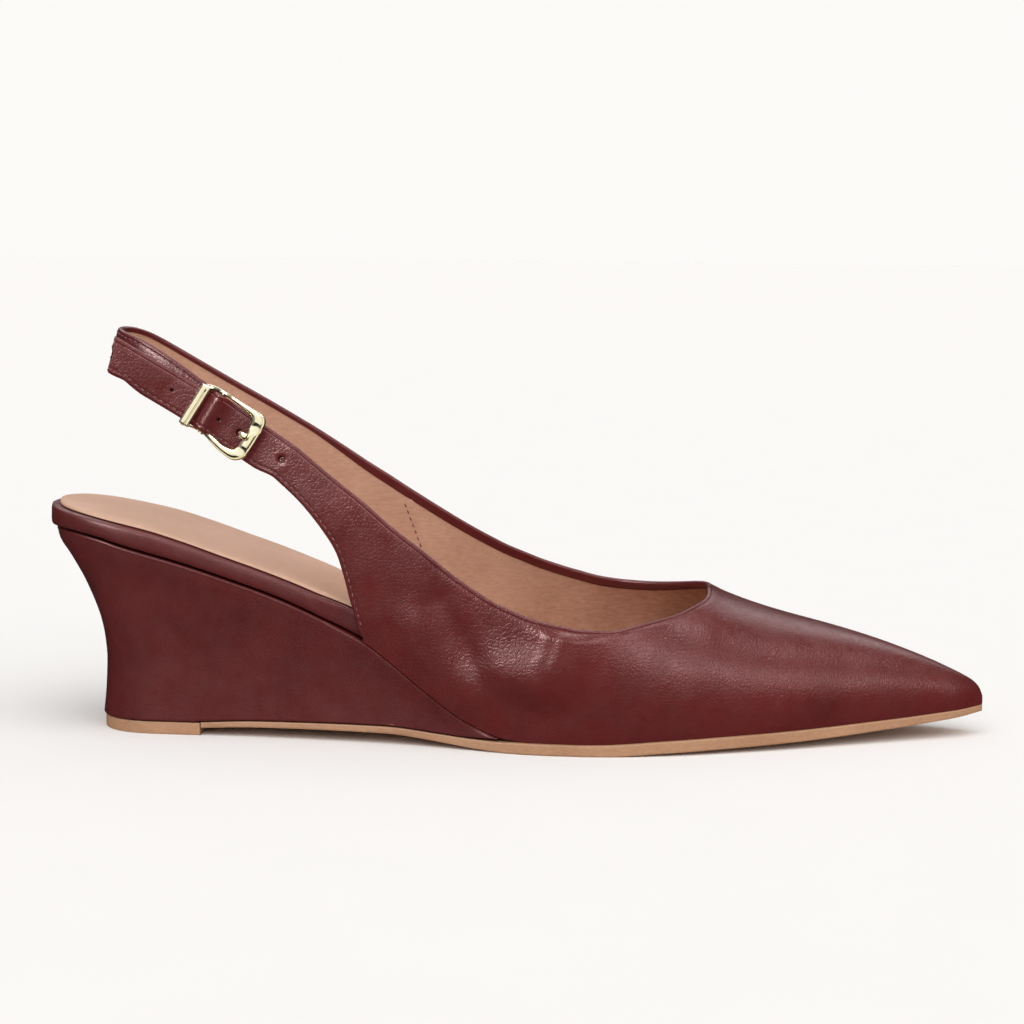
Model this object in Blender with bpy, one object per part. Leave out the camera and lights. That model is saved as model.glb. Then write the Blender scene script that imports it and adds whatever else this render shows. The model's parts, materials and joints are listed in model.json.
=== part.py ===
# A right-foot slingback wedge pump: leather upper, covered wedge, thin sole and a side buckle.
# Metres, +X towards the toe, +Y towards the inner side of the foot, +Z up.
# The origin is on the floor, under the middle of the heel's flat top piece.
import math

import bmesh
import bpy
import numpy as np

for old in list(bpy.data.objects):
    bpy.data.objects.remove(old, do_unlink=True)

# Driving sizes of the shoe
LENGTH = 0.2615
BACK = -0.1166 * LENGTH
HEEL = 0.057
HALF_BALL = 0.038
WALL = 0.0016
GAP = 0.0003


def at(share):
    """Distance from the origin of a point that lies at a share of the length."""
    return BACK + share * LENGTH


# Sole sizes
TIP_FRONT = at(0.170)
TIP_BACK = at(0.056)
TIP_THICK = 0.0034
SOLE_EDGE = 0.0005
SOLE_START = at(0.461)
WEDGE_FRONT = at(0.488)
SEAM_JOIN = at(0.515)
WEDGE_INSET = 0.0006
WEDGE_TOP_BACK = at(0.004)
HEEL_END = at(-0.002)
WEDGE_ROUND_TOP = 0.72 * HALF_BALL
WEDGE_ROUND_LOW = 0.53 * HALF_BALL

# Insole and sock sizes
SOCK_THICK = 0.0009
SOCK_INSET = 0.0020
INSOLE_FRONT = at(0.964)
INSOLE_ROUND = 0.32 * HALF_BALL
RIM = 0.0018
COVER_START = at(0.293)
COVER_END = at(0.331)
COVER_ROOM = 0.0012

# Upper sizes
THROAT = at(0.704)
RIDGE = 0.092 * HALF_BALL
ROUND = 2.3
TUCK = 0.022
HEEL_ROUND = 0.75 * HALF_BALL
TOE_ROUND = 0.24 * HALF_BALL
STRAP = 0.0100
STRAP_FALL = math.atan(2.735 * HEEL / LENGTH)
LEAN = 0.12
BACK_FALL = 0.26 * STRAP_FALL
TAIL_SLANT = 0.0030
TAIL_END = at(0.0815)
TAIL_START = at(0.132)
TAIL_NEXT = at(0.145)
STRAP_END = at(0.245)
STRAP_SLOPE_START = at(0.208)
OUTER_FLAT = (at(0.270), at(0.361))
INNER_FLAT = (at(0.254), at(0.369))
BACK_TURN = (at(0.147), at(0.078))
NARROW = 0.21 * HALF_BALL

# Buckle sizes
HINGE = (at(0.181), -0.482 * HALF_BALL, 1.547 * HEEL)
HINGE_BAR = 0.00075
FREE_BUMP = 0.0017
FREE_RISE = 0.0024
FRAME_REACH = 0.0028
FRAME_DEPTH = 0.00085
FRAME_LIFT = 0.0037
FRAME_DIP = 0.0027
FREE_LEVEL = 0.0013
HOLE = 0.0008
PRONG = 0.00050
FRAME_HALF = 0.0063
FRAME_FRONT = 0.0132
FRAME_BACK = 0.0053

# Shares of the length, then of half the ball width on the outer and the inner side
OUTLINE = (
    (0.109, 0.671, 0.666), (0.212, 0.689, 0.647), (0.308, 0.724, 0.592), (0.403, 0.816, 0.645),
    (0.480, 0.926, 0.803), (0.537, 0.989, 0.932), (0.576, 1.000, 0.989), (0.614, 0.979, 1.021),
    (0.671, 0.895, 0.995), (0.728, 0.758, 0.911), (0.786, 0.595, 0.795), (0.843, 0.416, 0.658),
    (0.901, 0.234, 0.505), (0.950, 0.076, 0.371), (1.000, -0.076, 0.237),
)
# The wedge's own foot, same shares
FOOTING = (
    (0.050, 0.560, 0.560), (0.117, 0.560, 0.560), (0.170, 0.574, 0.556), (0.270, 0.635, 0.540),
    (0.384, 0.745, 0.600), (0.484, 0.925, 0.790), (0.537, 0.985, 0.930), (1.000, 0.985, 0.930),
)
# Shares of the length, then of the heel height
SEAM = (
    (0.000, 0.990), (0.034, 0.977), (0.064, 0.953), (0.090, 0.918), (0.151, 0.842), (0.211, 0.756),
    (0.250, 0.695), (0.291, 0.617), (0.319, 0.553), (0.346, 0.490), (0.369, 0.416), (0.407, 0.281),
    (0.438, 0.179), (0.461, 0.121), (0.488, 0.070), (0.515, 0.0526),
)
INSOLE = (
    (0.000, 1.112), (0.040, 1.084), (0.078, 1.050), (0.117, 1.010), (0.155, 0.958), (0.193, 0.899),
    (0.231, 0.841), (0.270, 0.777), (0.308, 0.707), (0.346, 0.627), (0.384, 0.527), (0.423, 0.408),
    (0.461, 0.286), (0.499, 0.186), (0.537, 0.137), (0.583, 0.123), (0.690, 0.133), (0.843, 0.172),
    (1.000, 0.225),
)
GROUND = (
    (0.170, 0.035), (0.231, 0.048), (0.308, 0.051), (0.365, 0.050), (0.423, 0.029), (0.468, 0.008),
    (0.499, 0.000), (0.595, 0.000), (0.652, 0.011), (0.709, 0.020), (0.767, 0.029), (0.824, 0.041),
    (0.881, 0.060), (0.927, 0.078), (0.966, 0.096), (1.000, 0.118),
)
SOLE_THICK = (
    (0.170, 0.028), (0.308, 0.032), (0.365, 0.034), (0.423, 0.038), (0.468, 0.046), (0.515, 0.0526),
    (0.572, 0.052), (0.621, 0.055), (0.694, 0.056), (0.774, 0.054), (0.855, 0.050), (0.908, 0.044),
    (0.954, 0.039), (1.000, 0.031),
)
CROWN = (
    (-0.002, 2.281), (0.117, 2.140), (0.212, 2.053), (0.308, 1.930), (0.403, 1.684), (0.480, 1.447),
    (0.537, 1.237), (0.576, 1.088), (0.614, 0.940), (0.660, 0.798), (0.704, 0.719), (0.717, 0.688),
    (0.748, 0.633), (0.778, 0.591), (0.839, 0.519), (0.881, 0.465), (0.912, 0.418), (0.945, 0.361),
    (0.964, 0.323), (0.981, 0.286), (0.989, 0.264), (0.996, 0.230), (1.000, 0.184),
)
# Height shares of the wedge's layers and how far each has spread from the foot to the seat
LAYERS = (
    (0.00, 0.04), (0.15, -0.01), (0.30, -0.03), (0.42, 0.01), (0.52, 0.09), (0.62, 0.23), (0.74, 0.45),
    (0.85, 0.71), (0.95, 0.96), (1.00, 1.00),
)
# Ribs of the outer quarter: share of length and of heel height at the top line, then at the lower edge
OUTER_RIBS = (
    (0.274, 1.386, 0.250, 1.256), (0.309, 1.275, 0.277, 1.147), (0.340, 1.170, 0.299, 1.030),
    (0.371, 1.053, 0.315, 0.920), (0.403, 0.947, 0.324, 0.802), (0.434, 0.841, 0.332, 0.670),
    (0.465, 0.749, 0.345, 0.492), (0.495, 0.679, 0.377, 0.000), (0.525, 0.630, 0.415, 0.000),
    (0.550, 0.605, 0.453, 0.000), (0.578, 0.587, 0.491, 0.000), (0.614, 0.590, 0.541, 0.000),
)
INNER_RIBS = (
    (0.257, 1.476, 0.232, 1.335), (0.295, 1.378, 0.262, 1.241), (0.334, 1.264, 0.289, 1.118),
    (0.368, 1.166, 0.308, 0.988), (0.402, 1.068, 0.321, 0.853), (0.434, 0.976, 0.330, 0.713),
    (0.465, 0.894, 0.345, 0.492), (0.497, 0.823, 0.377, 0.000), (0.527, 0.767, 0.415, 0.000),
    (0.557, 0.724, 0.453, 0.000), (0.591, 0.687, 0.499, 0.000), (0.632, 0.676, 0.553, 0.000),
)
# Ribs at the throat: share of length at the top line, share of a quarter turn, share of length below
OUTER_THROAT = (
    (0.660, 0.530, 0.600), (0.679, 0.614, 0.640), (0.695, 0.720, 0.672), (0.702, 0.826, 0.694),
)
INNER_THROAT = (
    (0.671, 0.660, 0.612), (0.690, 0.763, 0.650), (0.701, 0.880, 0.684),
)
# Free strap: share of length, top edge height share, how far out its top edge lies as a share of half ball
FREE_STRAP = (
    (0.081, 1.917, 0.492), (0.125, 1.800, 0.503), (0.171, 1.679, 0.514), (0.208, 1.572, 0.532),
    (0.243, 1.467, 0.564), (0.262, 1.416, 0.588),
)
# Heel strap's top edge from the inner quarter round the heel to the buckle, same shares, inner side positive
HEEL_STRAP = (
    (0.217, 1.581, 0.492), (0.178, 1.681, 0.474), (0.143, 1.774, 0.446), (0.115, 1.854, 0.396),
    (0.092, 1.917, 0.310), (0.076, 1.950, 0.185), (0.069, 1.956, 0.030), (0.072, 1.948, -0.130),
    (0.084, 1.918, -0.270), (0.105, 1.866, -0.362), (0.130, 1.800, -0.410), (0.154, 1.735, -0.440),
)
# Strap end folded round the hinge bar: along, outward and half thickness as shares of the hinge bar
FOLD = (
    (-7.0, -0.97, 1.07), (-5.2, -0.67, 0.93), (-3.0, 0.53, 0.73), (-1.4, 1.53, 0.67), (0.0, 1.87, 0.67),
    (1.32, 1.32, 0.67), (1.87, 0.00, 0.67), (1.32, -1.32, 0.67), (0.0, -1.87, 0.67), (-2.0, -2.32, 0.67),
    (-4.7, -2.72, 0.67), (-8.0, -2.87, 0.67), (-11.0, -2.92, 0.67),
)
# Buckle ring, half of it: along as a share of the frame's reach, then across and half a band of its half width
RING = (
    (-1.00, 0.00, 0.222), (-1.00, 0.42, 0.206), (-0.88, 0.80, 0.159), (-0.42, 0.98, 0.143),
    (0.20, 1.00, 0.143), (0.60, 0.97, 0.159), (0.86, 0.82, 0.206), (0.99, 0.44, 0.254),
    (1.00, 0.00, 0.270),
)
# Punched holes of the free strap: along as a share of the frame's reach, radius as a share of the hole's
PUNCHED = ((1.750, 1.0), (0.720, 1.55), (0.212, 0.9), (-0.947, 0.9))
# Prong: along and outward as shares of the frame's reach
PRONG_PATH = (
    (0.212, 0.000), (0.379, -0.023), (0.561, -0.045), (0.659, -0.015), (0.712, 0.091), (0.758, 0.242),
    (0.826, 0.364), (0.955, 0.432),
)


class Curve:
    """A smooth line through table rows that never overshoots them."""

    def __init__(self, xs, ys):
        self.x = np.asarray(xs, float)
        self.y = np.asarray(ys, float)
        h = np.diff(self.x)
        d = np.diff(self.y) / h
        m = np.zeros(len(self.x))
        for i in range(1, len(d)):
            if d[i - 1] * d[i] > 0.0:
                w1 = 2.0 * h[i] + h[i - 1]
                w2 = h[i] + 2.0 * h[i - 1]
                m[i] = (w1 + w2) / (w1 / d[i - 1] + w2 / d[i])
        m[0] = d[0]
        m[-1] = d[-1]
        self.m = m

    def __call__(self, x):
        x = np.clip(np.asarray(x, float), self.x[0], self.x[-1])
        i = np.clip(np.searchsorted(self.x, x) - 1, 0, len(self.x) - 2)
        h = self.x[i + 1] - self.x[i]
        t = (x - self.x[i]) / h
        a = (1.0 + 2.0 * t) * (1.0 - t) ** 2
        b = t * (1.0 - t) ** 2
        c = t * t * (3.0 - 2.0 * t)
        e = t * t * (t - 1.0)
        return a * self.y[i] + b * h * self.m[i] + c * self.y[i + 1] + e * h * self.m[i + 1]


def smooth_path(points, count):
    """Even parameter steps on a rounded path through the points."""
    p = np.asarray(points, float)
    p = np.vstack([2.0 * p[0] - p[1], p, 2.0 * p[-1] - p[-2]])
    out = []
    last = len(points) - 1
    for s in np.linspace(0.0, last, count):
        i = min(int(s), last - 1)
        t = s - i
        a, b, c, d = p[i], p[i + 1], p[i + 2], p[i + 3]
        out.append(0.5 * (2.0 * b + (c - a) * t + (2.0 * a - 5.0 * b + 4.0 * c - d) * t * t
                          + (3.0 * b - a - 3.0 * c + d) * t ** 3))
    return np.array(out)


def column(table, col, unit):
    return Curve([at(r[0]) for r in table], [r[col] * unit for r in table])


outer_side = column(OUTLINE, 1, HALF_BALL)
inner_side = column(OUTLINE, 2, HALF_BALL)
outer_foot = column(FOOTING, 1, HALF_BALL)
inner_foot = column(FOOTING, 2, HALF_BALL)
seam_line = column(SEAM, 1, HEEL)
insole_line = column(INSOLE, 1, HEEL)
ground_line = column(GROUND, 1, HEEL)
sole_thick = column(SOLE_THICK, 1, HEEL)
crown_line = column(CROWN, 1, HEEL)


def ease(x, start, end):
    t = np.clip((x - start) / (end - start), 0.0, 1.0)
    return t * t * (3.0 - 2.0 * t)


def closing(t, power):
    t = np.clip(t, 0.0, 1.0)
    return (1.0 - (1.0 - t) ** power) ** (1.0 / power)


def sole_top(x):
    return ground_line(x) + sole_thick(x)


def seam(x):
    return np.where(x < SEAM_JOIN, np.maximum(seam_line(x), sole_top(x)), sole_top(x))


def edges(x, inset=0.0):
    """Outer and inner edge of the last's outline at x."""
    low = -outer_side(x)
    high = inner_side(x)
    mid = (low + high) / 2.0
    half = (high - low) / 2.0
    half = half * closing((x - HEEL_END) / HEEL_ROUND, 2.4) * closing((BACK + LENGTH - x) / TOE_ROUND, 2.0)
    half = half - inset * np.minimum(1.0, half / NARROW)
    return mid - half, mid + half


def skin(x, turn, wall=0.0):
    """Point on the upper's surface; turn runs 0 at the outer feather edge, 1 on top, 2 at the inner edge."""
    th = turn * math.pi / 2.0
    cs = math.cos(th)
    sn = max(math.sin(th), 0.0)
    low, high = edges(x)
    mid = (low + high) / 2.0
    half = (high - low) / 2.0
    half = half - wall * min(1.0, half / (0.6 * NARROW))
    base = float(seam(x)) + GAP
    crown = float(crown_line(x)) - wall * 1.08
    side = half * math.copysign(abs(cs) ** (2.0 / ROUND), cs)
    side = side * (1.0 - TUCK * (1.0 - sn) ** 6)
    ridge = RIDGE * sn * sn * min(1.0, half / (2.5 * NARROW))
    y = mid - side + ridge
    z = base + max(crown - base, GAP) * sn ** (2.0 / ROUND)
    return np.array([x, y, z])


def turn_at(x, z):
    """The turn where the section at x reaches height z."""
    base = float(seam(x)) + GAP
    share = np.clip((z - base) / (float(crown_line(x)) - base), 0.0, 1.0)
    return math.asin(share ** (ROUND / 2.0)) * 2.0 / math.pi


def material(name, colour, metallic, rough):
    made = bpy.data.materials.new(name)
    made.use_nodes = True
    shader = made.node_tree.nodes["Principled BSDF"]
    shader.inputs["Base Color"].default_value = (*colour, 1.0)
    shader.inputs["Metallic"].default_value = metallic
    shader.inputs["Roughness"].default_value = rough
    return made


def add_object(name, verts, faces, mat=None):
    mesh = bpy.data.meshes.new(name)
    mesh.from_pydata([tuple(map(float, v)) for v in verts], [], faces)
    bm = bmesh.new()
    bm.from_mesh(mesh)
    bmesh.ops.recalc_face_normals(bm, faces=bm.faces)
    bm.to_mesh(mesh)
    bm.free()
    made = bpy.data.objects.new(name, mesh)
    bpy.context.scene.collection.objects.link(made)
    if mat is not None:
        mesh.materials.append(mat)
    for face in mesh.polygons:
        face.use_smooth = True
    return made


def ladder(name, levels, mat):
    """Closed body from levels, each a list of (x, outer y, inner y, z) from back to front."""
    count = len(levels[0])
    verts = []
    for level in levels:
        for x, low, high, z in level:
            verts.append((x, low, z))
            verts.append((x, high, z))

    def index(k, i, side):
        return (k * count + i) * 2 + side

    faces = []
    top = len(levels) - 1
    for k in range(top):
        for i in range(count - 1):
            faces.append((index(k, i, 0), index(k, i + 1, 0), index(k + 1, i + 1, 0), index(k + 1, i, 0)))
            faces.append((index(k, i + 1, 1), index(k, i, 1), index(k + 1, i, 1), index(k + 1, i + 1, 1)))
        faces.append((index(k, 0, 1), index(k, 0, 0), index(k + 1, 0, 0), index(k + 1, 0, 1)))
        end = count - 1
        faces.append((index(k, end, 0), index(k, end, 1), index(k + 1, end, 1), index(k + 1, end, 0)))
    for i in range(count - 1):
        faces.append((index(0, i, 1), index(0, i + 1, 1), index(0, i + 1, 0), index(0, i, 0)))
        faces.append((index(top, i, 0), index(top, i + 1, 0), index(top, i + 1, 1), index(top, i, 1)))
    return add_object(name, verts, faces, mat)


def tube(points, widths, depths, side_axes, up_axes, closed, sides):
    """Rings of an oval rod along points; side and up axes give each oval's directions."""
    verts = []
    faces = []
    count = len(points)
    for p, w, d, sa, ua in zip(points, widths, depths, side_axes, up_axes):
        for k in range(sides):
            t = 2.0 * math.pi * k / sides
            verts.append(p + sa * (w * math.cos(t)) + ua * (d * math.sin(t)))
    steps = count if closed else count - 1
    for i in range(steps):
        j = (i + 1) % count
        for k in range(sides):
            m = (k + 1) % sides
            faces.append((i * sides + k, i * sides + m, j * sides + m, j * sides + k))
    if not closed:
        faces.append(tuple(reversed(range(sides))))
        faces.append(tuple((count - 1) * sides + k for k in range(sides)))
    return verts, faces


def spread(start, end, count, back_power, front_power):
    """Stations from start to end, close together near both ends."""
    t = np.linspace(0.0, 1.0, count)
    s = t ** back_power
    f = 1.0 - (1.0 - s) ** front_power
    return start + (end - start) * f


leather = material("burgundy_leather", (0.115, 0.014, 0.018), 0.0, 0.38)
wrap = material("burgundy_wrap", (0.105, 0.013, 0.017), 0.0, 0.42)
lining = material("tan_lining", (0.56, 0.30, 0.21), 0.0, 0.6)
sole_tan = material("tan_sole", (0.47, 0.25, 0.13), 0.0, 0.55)
gold = material("pale_gold", (0.83, 0.74, 0.50), 1.0, 0.22)

# Outsole
xs = spread(TIP_FRONT + GAP, BACK + LENGTH - 0.7 * GAP, 44, 1.0, 1.5)
join = ease(xs, SOLE_START, SEAM_JOIN)
low_foot = -outer_foot(xs)
high_foot = inner_foot(xs)
low_last, high_last = edges(xs, -SOLE_EDGE)
low_side = low_foot * (1.0 - join) + low_last * join
high_side = high_foot * (1.0 - join) + high_last * join
under = ground_line(xs)
over = sole_top(xs)
levels = []
for share, inset in ((0.0, 1.2), (0.22, 0.0), (0.85, 0.0), (1.0, 0.8)):
    pull = inset * SOLE_EDGE * np.minimum(1.0, (high_side - low_side) / (1.5 * NARROW))
    levels.append(list(zip(xs, low_side + pull, high_side - pull, under + (over - under) * share)))
ladder("outsole", levels, sole_tan)

# Top piece under the heel
xs = spread(TIP_BACK + 0.3 * GAP, TIP_FRONT, 14, 1.9, 1.0)
levels = []
for z, inset in ((0.0, 0.4 * SOLE_EDGE), (0.8 * SOLE_EDGE, 0.0), (TIP_THICK, 0.0)):
    shape = closing((xs - TIP_BACK) / WEDGE_ROUND_LOW, 2.6)
    levels.append(list(zip(xs, -outer_foot(xs) * shape + inset, inner_foot(xs) * shape - inset,
                           np.full(len(xs), z))))
ladder("top_piece", levels, sole_tan)

# Covered wedge
def wedge_foot(x):
    """Underside of the wedge: level over the top piece, then on the outsole."""
    return np.maximum(TIP_THICK + GAP, np.where(x > TIP_FRONT - 3.0 * GAP, sole_top(x) + GAP * 1.2, 0.0))


run = np.linspace(COVER_END, WEDGE_FRONT, 80)
wedge_front = run[seam_line(run) - sole_top(run) > 3.0 * GAP][-1]
levels = []
for share, grow in LAYERS:
    back = TIP_BACK + (WEDGE_TOP_BACK - TIP_BACK) * grow
    xs = spread(back + 0.3 * GAP, wedge_front, 34, 1.8, 1.0)
    reach = WEDGE_ROUND_LOW + (WEDGE_ROUND_TOP - WEDGE_ROUND_LOW) * grow
    shape = closing((xs - back) / reach, 2.6 - 0.2 * grow)
    low = -(outer_foot(xs) + (outer_side(xs) - WEDGE_INSET - outer_foot(xs)) * grow) * shape
    high = (inner_foot(xs) + (inner_side(xs) - WEDGE_INSET - inner_foot(xs)) * grow) * shape
    foot = wedge_foot(xs)
    z = foot + (seam(xs) - GAP * 0.6 - foot) * share
    levels.append(list(zip(xs, low, high, z)))
ladder("wedge", levels, wrap)


# Leather-wrapped insole, covered by the upper's wall in front
def insole_edges(x, inset):
    low, high = edges(x, inset)
    cover = (WALL + COVER_ROOM) * ease(x, COVER_START, COVER_END)
    front = closing((INSOLE_FRONT - x) / INSOLE_ROUND, 2.0)
    mid = (low + high) / 2.0
    half = ((high - low) / 2.0 - cover) * front
    return mid - half, mid + half


xs = spread(HEEL_END + 0.3 * GAP, INSOLE_FRONT - 0.3 * GAP, 42, 1.7, 1.25)
levels = []
top = insole_line(xs) - SOCK_THICK - GAP
base = seam(xs) + GAP * 1.3
for share, inset in ((0.0, 0.55), (0.10, 0.17), (0.42, 0.0), (0.74, 0.17), (0.92, 0.55), (1.0, 1.0)):
    thin = ease(xs, COVER_START, COVER_END)
    low, high = insole_edges(xs, RIM * inset * (1.0 - 0.7 * thin))
    levels.append(list(zip(xs, low, high, base + (top - base) * share)))
ladder("insole_board", levels, wrap)

start = HEEL_END + 1.1 * SOCK_INSET
end = INSOLE_FRONT - SOCK_INSET
xs = spread(start + 0.1 * SOCK_INSET, end - 0.1 * SOCK_INSET, 38, 1.7, 1.25)
levels = []
for drop, inset in ((1.0, 0.0), (0.33, 0.0), (0.0, 0.2)):
    low, high = insole_edges(xs, SOCK_INSET * (1.0 + inset))
    close = closing((xs - start) / HEEL_ROUND, 2.4) / closing((xs - HEEL_END) / HEEL_ROUND, 2.4)
    front = closing((end - xs) / INSOLE_ROUND, 2.0) / closing((INSOLE_FRONT - xs) / INSOLE_ROUND, 2.0)
    mid = (low + high) / 2.0
    half = (high - low) / 2.0 * np.minimum(close, 1.0) * np.minimum(front, 1.0)
    levels.append(list(zip(xs, mid - half, mid + half, insole_line(xs) - drop * SOCK_THICK)))
ladder("sock", levels, lining)

# Directions at the buckle: along the strap towards the toe, up across the strap, outward
along = np.array([math.cos(STRAP_FALL), -0.075, -math.sin(STRAP_FALL)])
along = along / np.linalg.norm(along)
across = np.array([math.sin(STRAP_FALL), LEAN, math.cos(STRAP_FALL)])
across = across - along * across.dot(along)
across = across / np.linalg.norm(across)
outward = np.cross(along, across)
hinge = np.array(HINGE)


def place(a, b, c):
    return hinge + along * a + across * b + outward * c


def free_height(a):
    """How far the free strap's middle stands out from the hinge bar at a along the strap."""
    return FREE_LEVEL + FREE_BUMP * math.exp(-(a / FREE_RISE) ** 2)


# Upper: ribs from the strap ends to the throat, then arches to the toe
ROWS = 6


def rib_rows(table, throat):
    rows = []
    for xt, zt, xl, zl in table:
        x1, x0 = at(xt), at(xl)
        t1 = turn_at(x1, zt * HEEL)
        t0 = turn_at(x0, zl * HEEL) if zl > 0.0 else 0.0
        rows.append((x1, t1, x0, t0))
    for xt, turn, xl in throat:
        rows.append((at(xt), turn, at(xl), 0.0))
    rows.append((THROAT, 1.0, THROAT, 0.0))
    return np.array(rows)


free_top = column(FREE_STRAP, 1, HEEL)
free_side = column(FREE_STRAP, 2, HALF_BALL)
heel_rows = np.array([(at(a), c * HALF_BALL, b * HEEL) for a, b, c in HEEL_STRAP])
fall = np.array([math.sin(STRAP_FALL), 0.0, math.cos(STRAP_FALL)])


def hang(x):
    """Upward direction across the heel strap, steeper round the back of the heel."""
    angle = STRAP_FALL + (BACK_FALL - STRAP_FALL) * float(ease(x, *BACK_TURN))
    return np.array([math.sin(angle), 0.0, math.cos(angle)])


def wall_rib(row, side):
    """A rib of the wall from its lower edge to the top line, on the section surface."""
    x1, t1, x0, t0 = row
    out = []
    for k in range(ROWS + 1):
        v = k / ROWS
        turn = t0 + (t1 - t0) * v
        p = skin(x0 + (x1 - x0) * v, turn if side < 0 else 2.0 - turn)
        out.append(p)
    return np.array(out)


def strap_rib(top_point, side_dir, up):
    """A straight rib of strap hanging from its top edge."""
    out = []
    for k in range(ROWS + 1):
        down = STRAP * (1.0 - k / ROWS)
        out.append(top_point - up * down + side_dir * (LEAN * down))
    return np.array(out)


# Outer wing, from the strap's tail to the throat
outer_rows = rib_rows(OUTER_RIBS, OUTER_THROAT)
outer_fine = smooth_path(outer_rows, 40)
outer_wing = []
tail_run = np.concatenate([np.linspace(TAIL_END, TAIL_START, 5), np.linspace(TAIL_NEXT, STRAP_END, 14)])
for x in tail_run:
    top_point = np.array([x, -float(free_side(x)), float(free_top(x))])
    a = (top_point - fall * STRAP / 2.0 - hinge).dot(along)
    mid = place(a, 0.0, free_height(a) + WALL / 2.0)
    rib = strap_rib(top_point, np.array([0.0, -1.0, 0.0]), fall)
    centre = (rib[0] + rib[-1]) / 2.0
    near = math.exp(-((a - 0.3 * FRAME_FRONT) / (1.6 * FRAME_FRONT)) ** 6)
    shift = outward * (mid - centre).dot(outward)
    bump = outward * (free_height(a) - FREE_LEVEL)
    rib = rib + shift * near + bump * (1.0 - near)
    slant = TAIL_SLANT * float(ease(x, TAIL_START, TAIL_END))
    rib[:, 0] += slant * np.linspace(1.0, 0.0, ROWS + 1)
    outer_wing.append(rib)
free_slope = (float(free_side(STRAP_END)) - float(free_side(STRAP_SLOPE_START))) / (STRAP_END - STRAP_SLOPE_START)
for row in outer_fine:
    rib = wall_rib(row, -1)
    keep = 1.0 - float(ease(row[0], *OUTER_FLAT))
    if keep > 0.0:
        x1 = row[0]
        y_top = -(float(free_side(min(x1, STRAP_END))) + max(x1 - STRAP_END, 0.0) * free_slope)
        flat = rib.copy()
        flat[:, 1] = y_top - LEAN * (rib[-1, 2] - rib[:, 2])
        rib = rib * (1.0 - keep) + flat * keep
    outer_wing.append(rib)
outer_wing = np.array(outer_wing)

# Inner wing, from the folded end at the buckle round the heel to the throat
path = smooth_path([(r[0], r[1], r[2]) for r in heel_rows[::-1]], 34)
fold_mid = smooth_path([(a * HINGE_BAR, c * HINGE_BAR, h * HINGE_BAR) for a, c, h in FOLD], 31)
step = np.gradient(fold_mid[:, :2], axis=0)
step = step / np.linalg.norm(step, axis=1)[:, None]
fold_out = []
fold_in = []
for (a, c, h), (da, dc) in zip(fold_mid, step):
    rib_out = []
    rib_in = []
    for k in range(ROWS + 1):
        b = STRAP * (k / ROWS - 0.5)
        rib_out.append(place(a - dc * h, b, c + da * h))
        rib_in.append(place(a + dc * h, b, c - da * h))
    fold_out.append(np.array(rib_out))
    fold_in.append(np.array(rib_in))
loop = []
for i, p in enumerate(path):
    before = path[max(i - 1, 0)]
    after = path[min(i + 1, len(path) - 1)]
    run = (after - before) / np.linalg.norm(after - before)
    up = hang(p[0])
    out_dir = np.cross(up, run)
    out_dir = out_dir / np.linalg.norm(out_dir)
    loop.append(strap_rib(p, out_dir, up))
inner_rows = rib_rows(INNER_RIBS, INNER_THROAT)
inner_fine = smooth_path(inner_rows, 36)
quarter = []
for row in inner_fine:
    rib = wall_rib(row, 1)
    keep = 1.0 - float(ease(row[0], *INNER_FLAT))
    if keep > 0.0:
        x1 = row[0]
        y_top = heel_rows[0][1] + (x1 - heel_rows[0][0]) * 0.07
        flat = rib.copy()
        flat[:, 1] = y_top + LEAN * (rib[-1, 2] - rib[:, 2])
        rib = rib * (1.0 - keep) + flat * keep
    quarter.append(rib)

# Arches from the throat to the toe
arch_x = spread(THROAT, BACK + LENGTH - 0.5 * GAP, 24, 1.0, 1.6)


def arch(x, wall=0.0):
    return np.array([skin(x, k / ROWS, wall) for k in range(2 * ROWS + 1)])


arches = np.array([arch(x) for x in arch_x])
inner_tip = WALL * 1.25
arches_in = np.array([arch(THROAT + (x - THROAT) * (1.0 - inner_tip / (BACK + LENGTH - THROAT)), WALL)
                      for x in arch_x])


def offset(grid, wall):
    """The grid moved inwards by the wall along its own normals."""
    du = np.gradient(grid, axis=0)
    dv = np.gradient(grid, axis=1)
    n = np.cross(du, dv)
    n = n / np.linalg.norm(n, axis=2)[:, :, None]
    return grid - n * np.asarray(wall)[:, None, None]


# Joined grids give even normals at the throat
outer_all = np.concatenate([outer_wing, arches[1:5, :ROWS + 1]], axis=0)
inner_wing_mid = np.concatenate([np.array(loop), np.array(quarter)], axis=0)[:, ::-1]
inner_all = np.concatenate([inner_wing_mid, arches[1:5, ROWS:]], axis=0)
outer_in = offset(outer_all, np.full(len(outer_all), WALL))
inner_in = offset(inner_all, np.full(len(inner_all), WALL))
fold_out = np.array(fold_out)[::-1][:, ::-1]
fold_in = np.array(fold_in)[::-1][:, ::-1]
n_outer = len(outer_wing)
n_inner = len(inner_wing_mid)
wing_outer = outer_all[:n_outer]
wing_outer_in = outer_in[:n_outer]
wing_inner = np.concatenate([fold_out, inner_all[:n_inner]], axis=0)
wing_inner_in = np.concatenate([fold_in, inner_in[:n_inner]], axis=0)
for j in range(len(arch_x)):
    blend = float(ease(j, 0.0, 4.0))
    if j < 5:
        at_outer = outer_in[n_outer - 1 + j]
        at_inner = inner_in[n_inner - 1 + j]
        joined = np.concatenate([at_outer[:-1], [(at_outer[-1] + at_inner[0]) / 2.0], at_inner[1:]])
        arches_in[j] = joined * (1.0 - blend) + arches_in[j] * blend
# The inside of the bottom rim stays level with the outside
arches_in[:, 0, 2] = arches[:, 0, 2]
arches_in[:, -1, 2] = arches[:, -1, 2]
wing_outer_in[-1] = arches_in[0][:ROWS + 1]
wing_inner_in[-1] = arches_in[0][ROWS:]

verts = []
faces = []


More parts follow.
